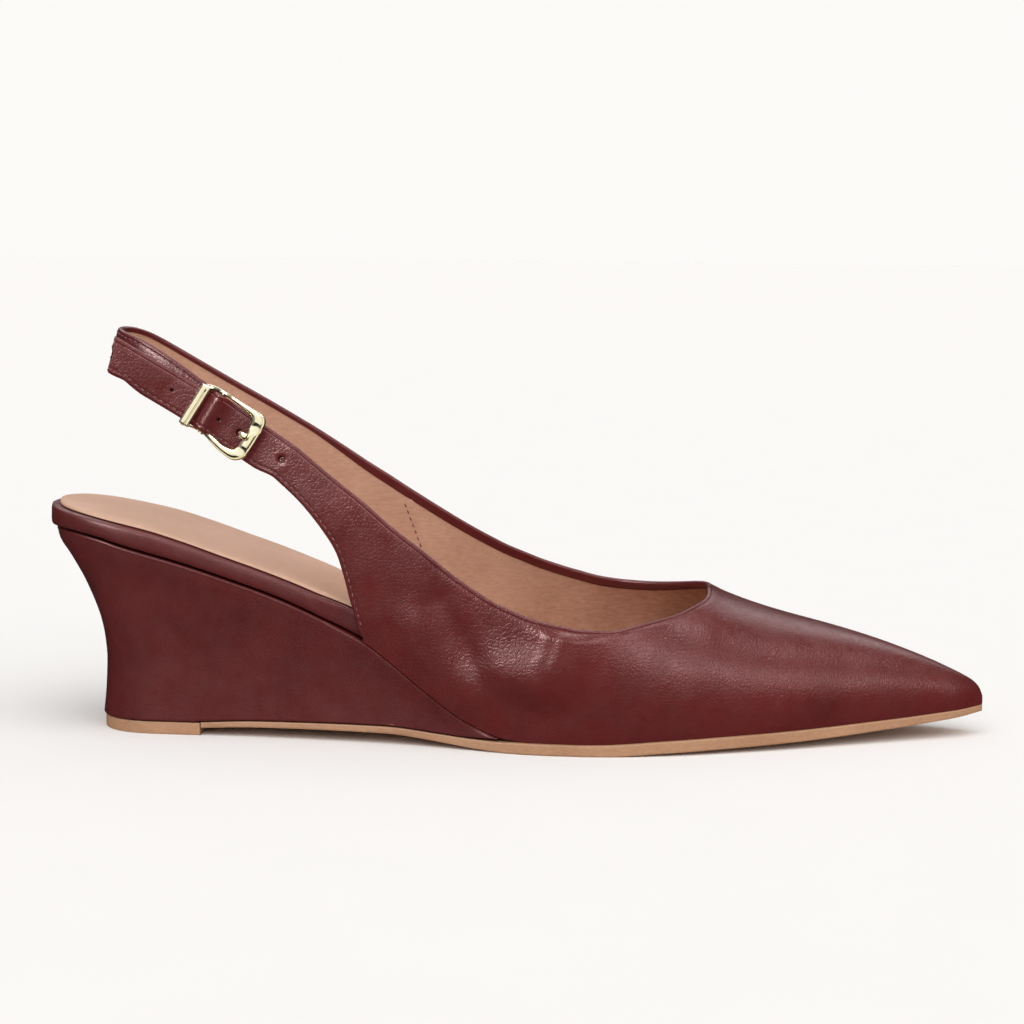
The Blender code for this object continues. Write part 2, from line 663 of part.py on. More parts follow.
def store(grid):
    """Add a grid's points and return their numbers."""
    numbers = np.arange(len(verts), len(verts) + grid.shape[0] * grid.shape[1]).reshape(grid.shape[:2])
    verts.extend(grid.reshape(-1, 3))
    return numbers


body_out = store(arches)
body_in = store(arches_in)
lat_out = np.vstack([store(wing_outer[:-1]), body_out[0:1, :ROWS + 1]])
lat_in = np.vstack([store(wing_outer_in[:-1]), body_in[0:1, :ROWS + 1]])
med_out = np.vstack([store(wing_inner[:-1]), body_out[0:1, ROWS:]])
med_in = np.vstack([store(wing_inner_in[:-1]), body_in[0:1, ROWS:]])


def skin_faces(numbers):
    for i in range(numbers.shape[0] - 1):
        for k in range(numbers.shape[1] - 1):
            faces.append((numbers[i, k], numbers[i + 1, k], numbers[i + 1, k + 1], numbers[i, k + 1]))


def rim_faces(line_out, line_in):
    for i in range(len(line_out) - 1):
        faces.append((line_out[i], line_out[i + 1], line_in[i + 1], line_in[i]))


for pair in ((body_out, body_in), (lat_out, lat_in), (med_out, med_in)):
    skin_faces(pair[0])
    skin_faces(pair[1])
rim_faces(body_out[:, 0], body_in[:, 0])
rim_faces(body_out[:, -1], body_in[:, -1])
for pair in ((lat_out, lat_in), (med_out, med_in)):
    rim_faces(pair[0][:, 0], pair[1][:, 0])
    rim_faces(pair[0][:, -1], pair[1][:, -1])
    rim_faces(pair[0][0, :], pair[1][0, :])
last = 2 * ROWS
for k in range(ROWS):
    if k < ROWS - 1:
        faces.append((body_out[-1, k], body_out[-1, k + 1], body_out[-1, last - k - 1], body_out[-1, last - k]))
        faces.append((body_in[-1, k], body_in[-1, k + 1], body_in[-1, last - k - 1], body_in[-1, last - k]))
    else:
        faces.append((body_out[-1, k], body_out[-1, k + 1], body_out[-1, k + 2]))
        faces.append((body_in[-1, k], body_in[-1, k + 1], body_in[-1, k + 2]))
faces.append((body_out[-1, 0], body_out[-1, last], body_in[-1, last], body_in[-1, 0]))
faces = [tuple(int(n) for n in f) for f in faces]
upper = add_object("upper", verts, faces, leather)

# Punched holes in the free strap
for number, (reach_share, share) in enumerate(PUNCHED):
    a = reach_share * FRAME_FRONT
    rod_points = [place(a, 0.0, free_height(a) + c * 2.5 * WALL) for c in (-1.0, 1.0)]
    rod_verts, rod_faces = tube(rod_points, [HOLE * share] * 2, [HOLE * share] * 2, [along] * 2, [across] * 2,
                                False, 12)
    cutter = add_object("punch_%d" % (number + 1), rod_verts, rod_faces)
    cutter.hide_render = True
    cutter.display_type = "WIRE"
    cut = upper.modifiers.new("hole_%d" % (number + 1), "BOOLEAN")
    cut.operation = "DIFFERENCE"
    cut.solver = "EXACT"
    cut.object = cutter

# Buckle frame: a bowed ring with a hinge bar set under its middle
half_ring = [(max(a, 0.0) * FRAME_FRONT + min(a, 0.0) * FRAME_BACK, b * FRAME_HALF, w * FRAME_HALF)
             for a, b, w in RING]
ring_rows = half_ring + [(a, -b, w) for a, b, w in reversed(half_ring[1:-1])]
RING_STEPS = 3
ring_closed = smooth_path([ring_rows[-1]] + ring_rows + [ring_rows[0], ring_rows[1]],
                          (len(ring_rows) + 2) * RING_STEPS + 1)
ring_fine = ring_closed[RING_STEPS:RING_STEPS + len(ring_rows) * RING_STEPS]


def bow(a):
    return FRAME_LIFT - FRAME_DIP * math.exp(-(a / FRAME_REACH) ** 2)


points = [place(a, b, bow(a)) for a, b, w in ring_fine]
runs = [points[(i + 1) % len(points)] - points[i - 1] for i in range(len(points))]
runs = [r / np.linalg.norm(r) for r in runs]
ups = []
sides = []
for r in runs:
    side = np.cross(r, outward)
    side = side / np.linalg.norm(side)
    sides.append(side)
    ups.append(np.cross(side, r))
ring_verts, ring_faces = tube(points, [w for a, b, w in ring_fine], [FRAME_DEPTH] * len(points), sides, ups,
                              True, 8)
frame = add_object("buckle_frame", ring_verts, ring_faces, gold)
bar_points = [place(0.0, -0.99 * FRAME_HALF, 0.0), place(0.0, 0.99 * FRAME_HALF, 0.0)]
bar_verts, bar_faces = tube(bar_points, [HINGE_BAR] * 2, [HINGE_BAR] * 2, [along] * 2, [outward] * 2, False, 10)
hinge_bar = add_object("hinge_bar_form", bar_verts, bar_faces)
hinge_bar.hide_render = True
hinge_bar.display_type = "WIRE"
weld = frame.modifiers.new("hinge", "BOOLEAN")
weld.operation = "UNION"
weld.solver = "EXACT"
weld.object = hinge_bar

# Prong from beside the hinge, under the strap, up through its hole and onto the front bar
prong_fine = smooth_path([(a * FRAME_FRONT, c * FRAME_FRONT) for a, c in PRONG_PATH], 18)
points = [place(a, 0.0, c) for a, c in prong_fine]
runs = np.gradient(np.array(points), axis=0)
runs = runs / np.linalg.norm(runs, axis=1)[:, None]
ups = [np.cross(across, r) for r in runs]
prong_verts, prong_faces = tube(points, [PRONG] * len(points), [PRONG] * len(points), [across] * len(points),
                                ups, False, 10)
add_object("buckle_prong", prong_verts, prong_faces, gold)
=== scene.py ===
# Looks of a right-foot slingback wedge pump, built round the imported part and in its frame.
# Metres, +X towards the toe, +Y towards the inner side of the foot, +Z up.
import json
import math

import bmesh
import bpy
import numpy as np
from mathutils import Matrix, Vector
from mathutils.kdtree import KDTree

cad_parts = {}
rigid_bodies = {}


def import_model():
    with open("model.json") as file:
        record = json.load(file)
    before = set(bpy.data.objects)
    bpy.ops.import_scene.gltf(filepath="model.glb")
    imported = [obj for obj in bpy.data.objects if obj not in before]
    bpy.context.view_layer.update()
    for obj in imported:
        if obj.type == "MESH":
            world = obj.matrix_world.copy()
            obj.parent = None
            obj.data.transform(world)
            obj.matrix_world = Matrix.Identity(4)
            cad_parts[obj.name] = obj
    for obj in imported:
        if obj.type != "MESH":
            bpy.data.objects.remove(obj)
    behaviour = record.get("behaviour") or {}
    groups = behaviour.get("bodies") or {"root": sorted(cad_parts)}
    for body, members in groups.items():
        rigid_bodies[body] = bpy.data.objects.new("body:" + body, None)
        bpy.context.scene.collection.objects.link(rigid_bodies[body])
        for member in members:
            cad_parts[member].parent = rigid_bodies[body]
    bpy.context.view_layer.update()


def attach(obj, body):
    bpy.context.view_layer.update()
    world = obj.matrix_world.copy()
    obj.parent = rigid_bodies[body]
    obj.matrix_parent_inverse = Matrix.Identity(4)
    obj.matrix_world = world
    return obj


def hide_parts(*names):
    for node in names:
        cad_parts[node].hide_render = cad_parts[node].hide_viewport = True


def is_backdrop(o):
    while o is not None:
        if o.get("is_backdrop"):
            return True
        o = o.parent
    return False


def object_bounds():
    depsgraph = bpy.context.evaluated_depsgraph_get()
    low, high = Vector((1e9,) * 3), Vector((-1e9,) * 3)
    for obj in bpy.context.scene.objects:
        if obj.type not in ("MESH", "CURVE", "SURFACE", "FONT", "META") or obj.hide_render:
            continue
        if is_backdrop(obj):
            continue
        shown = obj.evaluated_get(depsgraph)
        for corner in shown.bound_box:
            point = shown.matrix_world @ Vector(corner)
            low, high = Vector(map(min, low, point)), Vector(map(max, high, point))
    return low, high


for old in list(bpy.data.objects):
    bpy.data.objects.remove(old, do_unlink=True)

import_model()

# Driving sizes, the same as the part's
LENGTH = 0.2615
BACK = -0.1166 * LENGTH
HEEL = 0.057
HALF_BALL = 0.038
WALL = 0.0016
GAP = 0.0003


def at(share):
    """Distance from the origin of a point that lies at a share of the length."""
    return BACK + share * LENGTH


TIP_FRONT = at(0.170)
TIP_BACK = at(0.056)
TIP_THICK = 0.0034
SOLE_EDGE = 0.0005
SOLE_START = at(0.461)
WEDGE_FRONT = at(0.488)
SEAM_JOIN = at(0.515)
WEDGE_INSET = 0.0006
WEDGE_TOP_BACK = at(0.004)
HEEL_END = at(-0.002)
WEDGE_ROUND_TOP = 0.72 * HALF_BALL
WEDGE_ROUND_LOW = 0.53 * HALF_BALL
SOCK_THICK = 0.0009
SOCK_INSET = 0.0020
INSOLE_FRONT = at(0.964)
INSOLE_ROUND = 0.32 * HALF_BALL
RIM = 0.0018
COVER_START = at(0.293)
COVER_END = at(0.331)
COVER_ROOM = 0.0012
THROAT = at(0.704)
TOE = at(1.0)
RIDGE = 0.092 * HALF_BALL
ROUND = 2.3
TUCK = 0.022
HEEL_ROUND = 0.75 * HALF_BALL
TOE_ROUND = 0.24 * HALF_BALL
STRAP = 0.0100
STRAP_FALL = math.atan(2.735 * HEEL / LENGTH)
LEAN = 0.12
BACK_FALL = 0.26 * STRAP_FALL
TAIL_SLANT = 0.0030
TAIL_END = at(0.0815)
TAIL_START = at(0.132)
TAIL_NEXT = at(0.145)
STRAP_END = at(0.245)
STRAP_SLOPE_START = at(0.208)
OUTER_FLAT = (at(0.270), at(0.361))
INNER_FLAT = (at(0.254), at(0.369))
BACK_TURN = (at(0.147), at(0.078))
NARROW = 0.21 * HALF_BALL
HINGE = (at(0.181), -0.482 * HALF_BALL, 1.547 * HEEL)
HINGE_BAR = 0.00075
FREE_BUMP = 0.0017
FREE_RISE = 0.0024
FRAME_REACH = 0.0028
FRAME_DEPTH = 0.00085
FRAME_LIFT = 0.0037
FRAME_DIP = 0.0027
FREE_LEVEL = 0.0013
HOLE = 0.0008
PRONG = 0.00050
FRAME_HALF = 0.0063
FRAME_FRONT = 0.0132

# Sizes of the finish: folded edge, band turned inside, back of the lining, stitches
ROLL = WALL / 2.0
BAND = 0.0020
LINING_BACK = 0.00105
HIDDEN = 0.0010
STITCH_INSET = 0.0013
STITCH_PITCH = 0.0020
STITCH_LENGTH = 0.0013
THREAD = 0.00018
SEAM_BLUR = 0.0012

# Holes, seams and pad of the finish
THIN_ROLL = 0.00035
LINING_FACE = 0.0014
HOLE_WEAR = 1.25
HOLE_CLOSED = (1.0, 0.66, 0.62, 0.55)
BRIDGE_COUNT = 24
BRIDGE_LOOK = 4
STRAP_MORE = 0.00140
MORE_START = (0.0132, 0.0150)
MORE_END = (0.030, 0.052)
FAR_RISE_END = (0.033, 0.050)
FOLD_RISE = 0.00085
FAR_BAND = 0.0007
NEAR_BAND = 0.0019
FAR_BAND_END = (0.036, 0.062)
RIDGE_ENDS = ((0.0023, 0.0046), (0.0008, -0.0036))
RIDGE_RISE = 0.00028
RIDGE_WIDTH = 0.00045
SEW_STOP = 4
SEW_FRONT = at(0.640)
EDGE_LINE_FRONT = at(0.430)
EDGE_LINE = 0.00013
LINING_FRONT = at(0.900)
WEDGE_EDGE = 0.0007
PAD_MIDDLE = at(0.085)
PAD_LENGTH = 0.27 * HALF_BALL * 2.6
PAD_WIDTH = 0.52 * HALF_BALL
PAD_RISE = 0.00035
TAIL_BITE = (
    (0.0, 0.0006), (0.06, -0.0001), (0.14, 0.0), (0.34, 0.0005), (0.6, 0.0003), (0.85, -0.0001),
    (1.0, -0.0005),
)
TAIL_DROP = 0.0011

# How finely the surfaces are divided
DENSE = 61
MIDDLE = 34
TAIL_COUNT = 26
STRAP_COUNT = 96
OUTER_COUNT = 218
LOOP_COUNT = 150
INNER_COUNT = 198
ARCH_COUNT = 130
FOLD_COUNT = 84
LONG_COUNT = 260
TIP_COUNT = 120
WEDGE_COUNT = 220
ROD_SIDES = 24
THREAD_SIDES = 8
PRONG_COUNT = 60
HOLD = 4
WELD = 2e-6
TINY = 1e-6
EDGE_STEPS = np.array([0.0, 0.00012, 0.0003, 0.00045, 0.0006, 0.0009, 0.0013, 0.0019, 0.0027])
ROLL_STEPS = np.linspace(0.0, math.pi, 9)

# Powers and shares that shape the last's outline and section
HEEL_POWER = 2.4
TOE_POWER = 2.0
TUCK_POWER = 6
CROWN_WALL = 1.08
THIN_SHARE = 0.6
RIDGE_SHARE = 2.5
ARCH_POWER = 1.5
END_SHARE = 0.42
INNER_SLOPE = 0.07
# Where the strap follows the buckle: middle and half length as shares of the frame's reach
BUCKLE_ZONE = (0.3, 1.6)
# Throat: direction of its edge into the vamp, and how many ribs turn towards it
THROAT_INTO = (1.0, 0.0, -0.28)
THROAT_TURN = 7
# Turned band: its steps as shares of its width, then how far the hidden back starts behind it
BAND_STEPS = (0.3, 0.65, 1.0)
BAND_OVER = 1.05
BAND_BEHIND = 1.15
BAND_RIBS = 8
SMOOTH_RIBS = 9
LINED_RIBS = 10.0
JOIN_RIBS = 30.0
# Rounded strap end: angles, share of the thickness lost and bulge as a share of the roll
CAP_ANGLES = (0.5, 1.0, 1.4)
CAP_LOSS = 0.4
CAP_BULGE = 0.35
# Punched hole: depth as a share of the wall and radius as a share of the rim's
PUNCH_STEPS = ((0.15, 0.98), (0.45, 1.0), (0.95, 1.0))
PUNCH_ROOM = 1.6
# Stitch: places of its rings along it, from end to end
STITCH_RINGS = (-1.0, -0.82, -0.45, 0.0, 0.45, 0.82, 1.0)

# Relief: the groove that stitches pull, and the leather drawn in at the holes
GROOVE_DEPTH = 0.00012
GROOVE_WIDTH = 0.00032
RIM_DEPTH = 0.00022
RIM_REACH = 1.7
FADE = (0.001, 0.004)
FADE_LEAST = 0.3

# Keeper bar and pin of the buckle
KEEPER_MIDDLE = -0.345
KEEPER_REACH = 0.985
BAR_ENDS = (-0.94, 1.02)
PIN_THICK = 0.62
SCOOP_DEPTH = 0.55
# Angles in degrees above which an edge stays sharp
SHARP_SOLE = 40.0
SHARP_GOLD = 32.0

# Materials: colours dark and light, gloss, then cells to the metre and their depth, or strokes to the
# metre; the lining's last colour is a painted shade towards the toe
LEATHER = ((0.096, 0.0085, 0.009), (0.128, 0.014, 0.014), 0.33, 850.0, 0.00009)
WRAP = ((0.092, 0.0095, 0.01), (0.122, 0.0145, 0.0145), 0.4, 1300.0, 0.00005)
LINING = ((0.52, 0.27, 0.175), (0.64, 0.36, 0.245), 0.58, 420.0, (0.29, 0.115, 0.06))
SOCK = ((0.6, 0.35, 0.235), (0.68, 0.41, 0.29), 0.55, 420.0)
SOLE = ((0.42, 0.215, 0.115), (0.52, 0.29, 0.165), 0.5, 700.0)
GOLD = ((0.86, 0.77, 0.52), (0.95, 0.88, 0.64))
# Stitch thread from dark burgundy to light pink; the light pink is a painted highlight on the thread
THREAD_TONES_AND_HIGHLIGHT = ((0.045, 0.006, 0.009), (0.32, 0.11, 0.12))
# Painted highlight: light pink colours of the raised line below the near top line, standing in for the
# light caught by the turned edge
TOPLINE_HIGHLIGHT = ((0.2, 0.055, 0.055), (0.36, 0.13, 0.13))
PALE = ((0.972, 0.958, 0.945), (0.98, 0.966, 0.953))
# Noise: how fine, detail and roughness
CLOUDS = (55.0, 5.0, 0.65)
PATCHES = (170.0, 4.0, 0.65)
RIPPLE = (240.0, 3.0, 0.55)
PORES = (2400.0, 2.0, 0.6)
TAN_CLOUDS = (45.0, 3.0, 0.5)
WEAR = (500.0, 3.0, 0.6)
TWIST = (2600.0, 2.0, 0.6)
GRAIN = (30.0, 2.0, 0.5)
# Bumps: strength and depth
RIPPLE_BUMP = (0.25, 0.00015)
CREASE_BUMP = 0.3
PORE_BUMP = (0.3, 0.00005)
STROKE_BUMP = (0.35, 0.00012)
WEAR_BUMP = (0.15, 0.00005)
# Leather's cells: fineness and reach of their warping, width of the creased border, irregularity
WARP = (380.0, 0.0022)
BORDER = 0.22
CELL_SPREAD = 0.75
# Tint of the leather's gloss
LEATHER_TINT = (1.0, 0.7, 0.68, 1.0)
# Gloss swings by this much about its middle value
GLOSS_SWING = (-0.06, 0.08)
# Where along the shoe the lining turns to its painted shade colour inside the toe, and by how much its ramp
# shifts
TOE_SHADE_SPAN = (0.085, 0.15)
TOE_SHADE_SHIFT = -0.34

# Studio
FLOOR = 60.0
BACKDROP = (0.979, 0.959, 0.940, 1.0)
SKY = ((0.30, 0.25), (0.50, 0.35), (0.75, 0.45), (1.0, 0.50))
GLOSS_SKY = ((0.45, 0.01), (0.60, 0.03), (0.80, 0.12), (1.0, 0.22))
DAY = {"turn": (34.0, 9.0), "width": 85.0, "strength": 2.04}
# Panels that show in the gloss: place, aim, size and power
LAMPS = {
    "overhead": ((0.13, -0.04, 0.90), (0.13, -0.04, 0.0), 1.2, 0.20, 7.0),
    "behind": ((0.10, 0.75, 0.65), (0.10, 0.0, 0.05), 1.2, 0.35, 3.0),
    "key": ((-0.45, -0.80, 0.70), (0.06, 0.0, 0.05), 0.38, 0.38, 15.0),
    "side": ((0.76, -0.71, 0.70), (0.17, -0.01, 0.03), 0.85, 0.22, 4.6),
}
LEATHER_LAMPS = ("key", "side")
# Wide soft lights that only the buckle reflects: direction to the light, width in degrees, strength
GOLD_LIGHTS = (((0.05, -0.78, 0.62), 112.0, 2.15), ((-0.95, -0.25, 0.30), 80.0, 0.30))
# Camera: place, angles in degrees, focal length and picture side in pixels, sensor in millimetres
CAMERA_AT = (0.1363, -0.650, 0.1321)
CAMERA_YAW = 3.36
CAMERA_PITCH = 6.23
CAMERA_ROLL = 0.65
CAMERA_FOCUS = 2342.0
PHOTO_SIDE = 1024.0
SENSOR = 36.0

# Shares of the length, then of half the ball width on the outer and the inner side
OUTLINE = (
    (0.109, 0.671, 0.666), (0.212, 0.689, 0.647), (0.308, 0.724, 0.592), (0.403, 0.816, 0.645),
    (0.48, 0.926, 0.803), (0.537, 0.989, 0.932), (0.576, 1.0, 0.989), (0.614, 0.979, 1.021),
    (0.671, 0.895, 0.995), (0.728, 0.758, 0.911), (0.786, 0.595, 0.795), (0.843, 0.416, 0.658),
    (0.901, 0.234, 0.505), (0.95, 0.076, 0.371), (1.0, -0.076, 0.237),
)
# The wedge's own foot, same shares
FOOTING = (
    (0.05, 0.56, 0.56), (0.117, 0.56, 0.56), (0.17, 0.574, 0.556), (0.27, 0.635, 0.54),
    (0.384, 0.745, 0.6), (0.484, 0.925, 0.79), (0.537, 0.985, 0.93), (1.0, 0.985, 0.93),
)
# Shares of the length, then of the heel height
SEAM = (
    (0.0, 0.99), (0.034, 0.977), (0.064, 0.953), (0.09, 0.918), (0.151, 0.842), (0.211, 0.756),
    (0.25, 0.695), (0.291, 0.617), (0.319, 0.553), (0.346, 0.49), (0.369, 0.416), (0.407, 0.281),
    (0.438, 0.179), (0.461, 0.121), (0.488, 0.07), (0.515, 0.0526),
)
INSOLE = (
    (0.0, 1.112), (0.04, 1.084), (0.078, 1.05), (0.117, 1.01), (0.155, 0.958), (0.193, 0.899),
    (0.231, 0.841), (0.27, 0.777), (0.308, 0.707), (0.346, 0.627), (0.384, 0.527), (0.423, 0.408),
    (0.461, 0.286), (0.499, 0.186), (0.537, 0.137), (0.583, 0.123), (0.69, 0.133), (0.843, 0.172),
    (1.0, 0.225),
)
GROUND = (
    (0.17, 0.035), (0.231, 0.048), (0.308, 0.051), (0.365, 0.05), (0.423, 0.029), (0.468, 0.008),
    (0.499, 0.0), (0.595, 0.0), (0.652, 0.011), (0.709, 0.02), (0.767, 0.029), (0.824, 0.041),
    (0.881, 0.06), (0.927, 0.078), (0.966, 0.096), (1.0, 0.118),
)
SOLE_THICK = (
    (0.17, 0.028), (0.308, 0.032), (0.365, 0.034), (0.423, 0.038), (0.468, 0.046), (0.515, 0.0526),
    (0.572, 0.052), (0.621, 0.055), (0.694, 0.056), (0.774, 0.054), (0.855, 0.05), (0.908, 0.044),
    (0.954, 0.039), (1.0, 0.031),
)
CROWN = (
    (-0.002, 2.281), (0.117, 2.14), (0.212, 2.053), (0.308, 1.93), (0.403, 1.684), (0.48, 1.447),
    (0.537, 1.237), (0.576, 1.088), (0.614, 0.94), (0.66, 0.798), (0.704, 0.719), (0.717, 0.688),
    (0.748, 0.633), (0.778, 0.591), (0.839, 0.519), (0.881, 0.465), (0.912, 0.418), (0.945, 0.361),
    (0.964, 0.323), (0.981, 0.286), (0.989, 0.264), (0.996, 0.23), (1.0, 0.184),
)
# Height shares of the wedge's layers and how far each has spread from the foot to the seat
LAYERS = (
    (0.0, 0.04), (0.15, -0.01), (0.3, -0.03), (0.42, 0.01), (0.52, 0.09), (0.62, 0.23), (0.74, 0.45),
    (0.85, 0.71), (0.95, 0.96), (1.0, 1.0),
)
# Ribs of the outer quarter: share of length and of heel height at the top line, then at the lower edge
OUTER_RIBS = (
    (0.274, 1.386, 0.25, 1.256), (0.309, 1.275, 0.277, 1.147), (0.34, 1.17, 0.299, 1.03),
    (0.371, 1.053, 0.315, 0.92), (0.403, 0.947, 0.324, 0.802), (0.434, 0.841, 0.332, 0.67),
    (0.465, 0.749, 0.345, 0.492), (0.495, 0.679, 0.377, 0.0), (0.525, 0.63, 0.415, 0.0),
    (0.55, 0.605, 0.453, 0.0), (0.578, 0.587, 0.491, 0.0), (0.614, 0.59, 0.541, 0.0),
)
INNER_RIBS = (
    (0.257, 1.476, 0.232, 1.335), (0.295, 1.378, 0.262, 1.241), (0.334, 1.264, 0.289, 1.118),
    (0.368, 1.166, 0.308, 0.988), (0.402, 1.068, 0.321, 0.853), (0.434, 0.976, 0.33, 0.713),
    (0.465, 0.894, 0.345, 0.492), (0.497, 0.823, 0.377, 0.0), (0.527, 0.767, 0.415, 0.0),
    (0.557, 0.724, 0.453, 0.0), (0.591, 0.687, 0.499, 0.0), (0.632, 0.676, 0.553, 0.0),
)
# Ribs at the throat: share of length at the top line, share of a quarter turn, share of length below
OUTER_THROAT = (
    (0.66, 0.53, 0.6), (0.679, 0.614, 0.64), (0.695, 0.72, 0.672), (0.702, 0.826, 0.694),
)
INNER_THROAT = (
    (0.671, 0.66, 0.612), (0.69, 0.763, 0.65), (0.701, 0.88, 0.684),
)
# Free strap: share of length, top edge height share, how far out the top edge lies as a share of half ball
FREE_STRAP = (
    (0.081, 1.917, 0.492), (0.125, 1.8, 0.503), (0.171, 1.679, 0.514), (0.208, 1.572, 0.532),
    (0.243, 1.467, 0.564), (0.262, 1.416, 0.588),
)
# Heel strap's top edge from the inner quarter round the heel to the buckle, same shares, inner side plus
HEEL_STRAP = (
    (0.217, 1.581, 0.492), (0.178, 1.681, 0.474), (0.143, 1.774, 0.446), (0.115, 1.854, 0.396),
    (0.092, 1.917, 0.31), (0.076, 1.95, 0.185), (0.069, 1.956, 0.03), (0.072, 1.948, -0.13),
    (0.084, 1.918, -0.27), (0.105, 1.866, -0.362), (0.13, 1.8, -0.41), (0.154, 1.735, -0.44),
)
# How much higher the finished heel strap lies than its table, row by row
HEEL_RISE = (
    0.0007, 0.0007, 0.0007, 0.0005, 0.0003, 0.0001, 0.0, 0.0001, 0.0007, 0.0018, 0.0021, 0.0018,
)
# Strap end folded round the hinge bar: along, outward and half thickness as shares of the hinge bar
FOLD = (
    (-7.0, -0.97, 1.07), (-5.2, -0.67, 0.93), (-3.0, 0.53, 0.73), (-1.4, 1.53, 0.67), (0.0, 1.87, 0.67),
    (1.32, 1.32, 0.67), (1.87, 0.0, 0.67), (1.32, -1.32, 0.67), (0.0, -1.87, 0.67), (-2.0, -2.32, 0.67),
    (-4.7, -2.72, 0.67), (-8.0, -2.87, 0.67), (-11.0, -2.92, 0.67),
)
# Punched holes of the free strap: along as a share of the frame's reach, radius as a share of the hole's
PUNCHED = ((1.750, 1.0), (0.720, 1.55), (0.212, 0.9), (-0.947, 0.9))
# Prong: along and outward as shares of the frame's reach
PRONG_PATH = (
    (0.212, 0.0), (0.379, -0.023), (0.561, -0.045), (0.659, -0.015), (0.712, 0.091), (0.758, 0.242),
    (0.826, 0.364), (0.955, 0.432),
)
# Buckle band from outside: along and across of its outer edge, then of its inner one, then how deep it sits
BAND_EDGES = (
    (-0.394, 0.984, -0.25, 0.794, 0.0), (-0.288, 1.127, -0.167, 0.905, 0.0),
    (-0.121, 1.19, -0.068, 0.968, 0.0), (0.061, 1.19, 0.076, 1.01, 0.0), (0.25, 1.19, 0.227, 1.024, 0.0),
    (0.545, 1.19, 0.515, 0.968, 0.0), (0.833, 1.206, 0.705, 0.889, 0.0),
    (1.015, 1.143, 0.795, 0.778, 0.0), (1.106, 0.921, 0.848, 0.571, 0.0),
    (1.13, 0.556, 0.871, 0.317, 0.0), (1.136, 0.127, 0.871, 0.032, 0.0),
    (1.132, -0.413, 0.864, -0.317, 0.0), (1.102, -0.778, 0.848, -0.603, 0.0),
    (1.0, -1.048, 0.788, -0.73, 0.0), (0.871, -1.159, 0.674, -0.786, 0.0),
    (0.644, -1.135, 0.53, -0.786, 0.0), (0.424, -1.056, 0.364, -0.714, 0.0),
    (0.227, -0.937, 0.197, -0.683, 0.1), (0.061, -0.889, 0.045, -0.762, 0.6),
    (-0.114, -0.905, -0.1, -0.81, 1.9), (-0.273, -0.96, -0.24, -0.857, 1.2),
    (-0.409, -1.0, -0.33, -0.9, 0.5), (-0.455, -0.45, -0.33, -0.45, 0.5), (-0.455, 0.5, -0.33, 0.45, 0.4),
)
# Across the band, outer to inner edge: place, height, and the groove's depth where the band is wide
BAND_PROFILE = (
    (0.02, -0.95, 0.0), (0.0, -0.3, 0.0), (0.01, 0.25, 0.0), (0.05, 0.55, 0.0), (0.09, 0.66, 0.0),
    (0.13, 0.66, 0.0), (0.155, 0.66, 0.4), (0.19, 0.68, 0.42), (0.22, 0.74, 0.1), (0.32, 0.9, 0.0),
    (0.45, 1.02, 0.0), (0.6, 1.02, 0.0), (0.74, 0.84, 0.0), (0.86, 0.5, 0.0), (0.95, 0.1, 0.0),
    (1.0, -0.3, 0.0), (0.98, -0.95, 0.0),
)
# Hollows in the band's front: along, across and radius
SCOOPS = ((0.985, 0.52, 0.22), (0.985, -0.62, 0.20))
# Side of the covered insole from its base up: share of the height, share of the rim it is set in by
RAND_PROFILE = (
    (0.0, 0.62), (0.04, 0.3), (0.12, 0.1), (0.3, 0.0), (0.52, 0.02), (0.74, 0.1), (0.86, 0.2),
    (0.94, 0.42), (1.0, 1.0),
)
# Keeper bar across its width: along from its middle and height
KEEPER_PROFILE = (
    (-1.75, -1.0), (-1.8, -0.1), (-1.6, 0.45), (-0.95, 1.0), (-0.8, 1.06), (0.15, 1.06), (0.28, 0.98),
    (0.36, 0.45), (0.52, 0.45), (0.62, 0.86), (0.75, 0.96), (1.3, 0.9), (1.55, 0.62), (1.72, 0.05),
    (1.72, -1.0),
)

# Soft ridges and troughs: path as shares of length and heel height, width, height in metres
FOLDS_OUTER = (
    (((0.486, 0.345), (0.528, 0.335), (0.553, 0.430), (0.560, 0.570)), 0.0082, 0.00175),
    (((0.424, 0.692), (0.450, 0.500), (0.484, 0.260), (0.545, 0.190)), 0.0040, -0.00080),
    (((0.398, 0.560), (0.420, 0.420), (0.462, 0.260)), 0.0062, 0.00080),
    (((0.600, 0.520), (0.604, 0.300)), 0.0090, -0.00030),
    (((0.532, 0.600), (0.523, 0.460)), 0.0007, -0.00006),
    (((0.540, 0.590), (0.530, 0.440)), 0.0007, 0.00006),
    (((0.548, 0.580), (0.537, 0.420)), 0.0007, -0.00007),
    (((0.556, 0.560), (0.544, 0.420)), 0.0007, 0.00006),
)
FOLDS_INNER = (
    (((0.450, 0.640), (0.500, 0.450)), 0.0055, 0.00060),
    (((0.450, 0.480), (0.545, 0.280)), 0.0055, -0.00050),
    (((0.560, 0.560), (0.585, 0.360)), 0.0050, -0.00035),
)
# Seam inside the inner quarter, and the crease beside it
LINING_SEAM = ((0.368, 1.072), (0.390, 0.800))
LINING_FOLDS = (
    (((0.374, 1.080), (0.397, 0.780)), 0.0011, 0.00032),
)


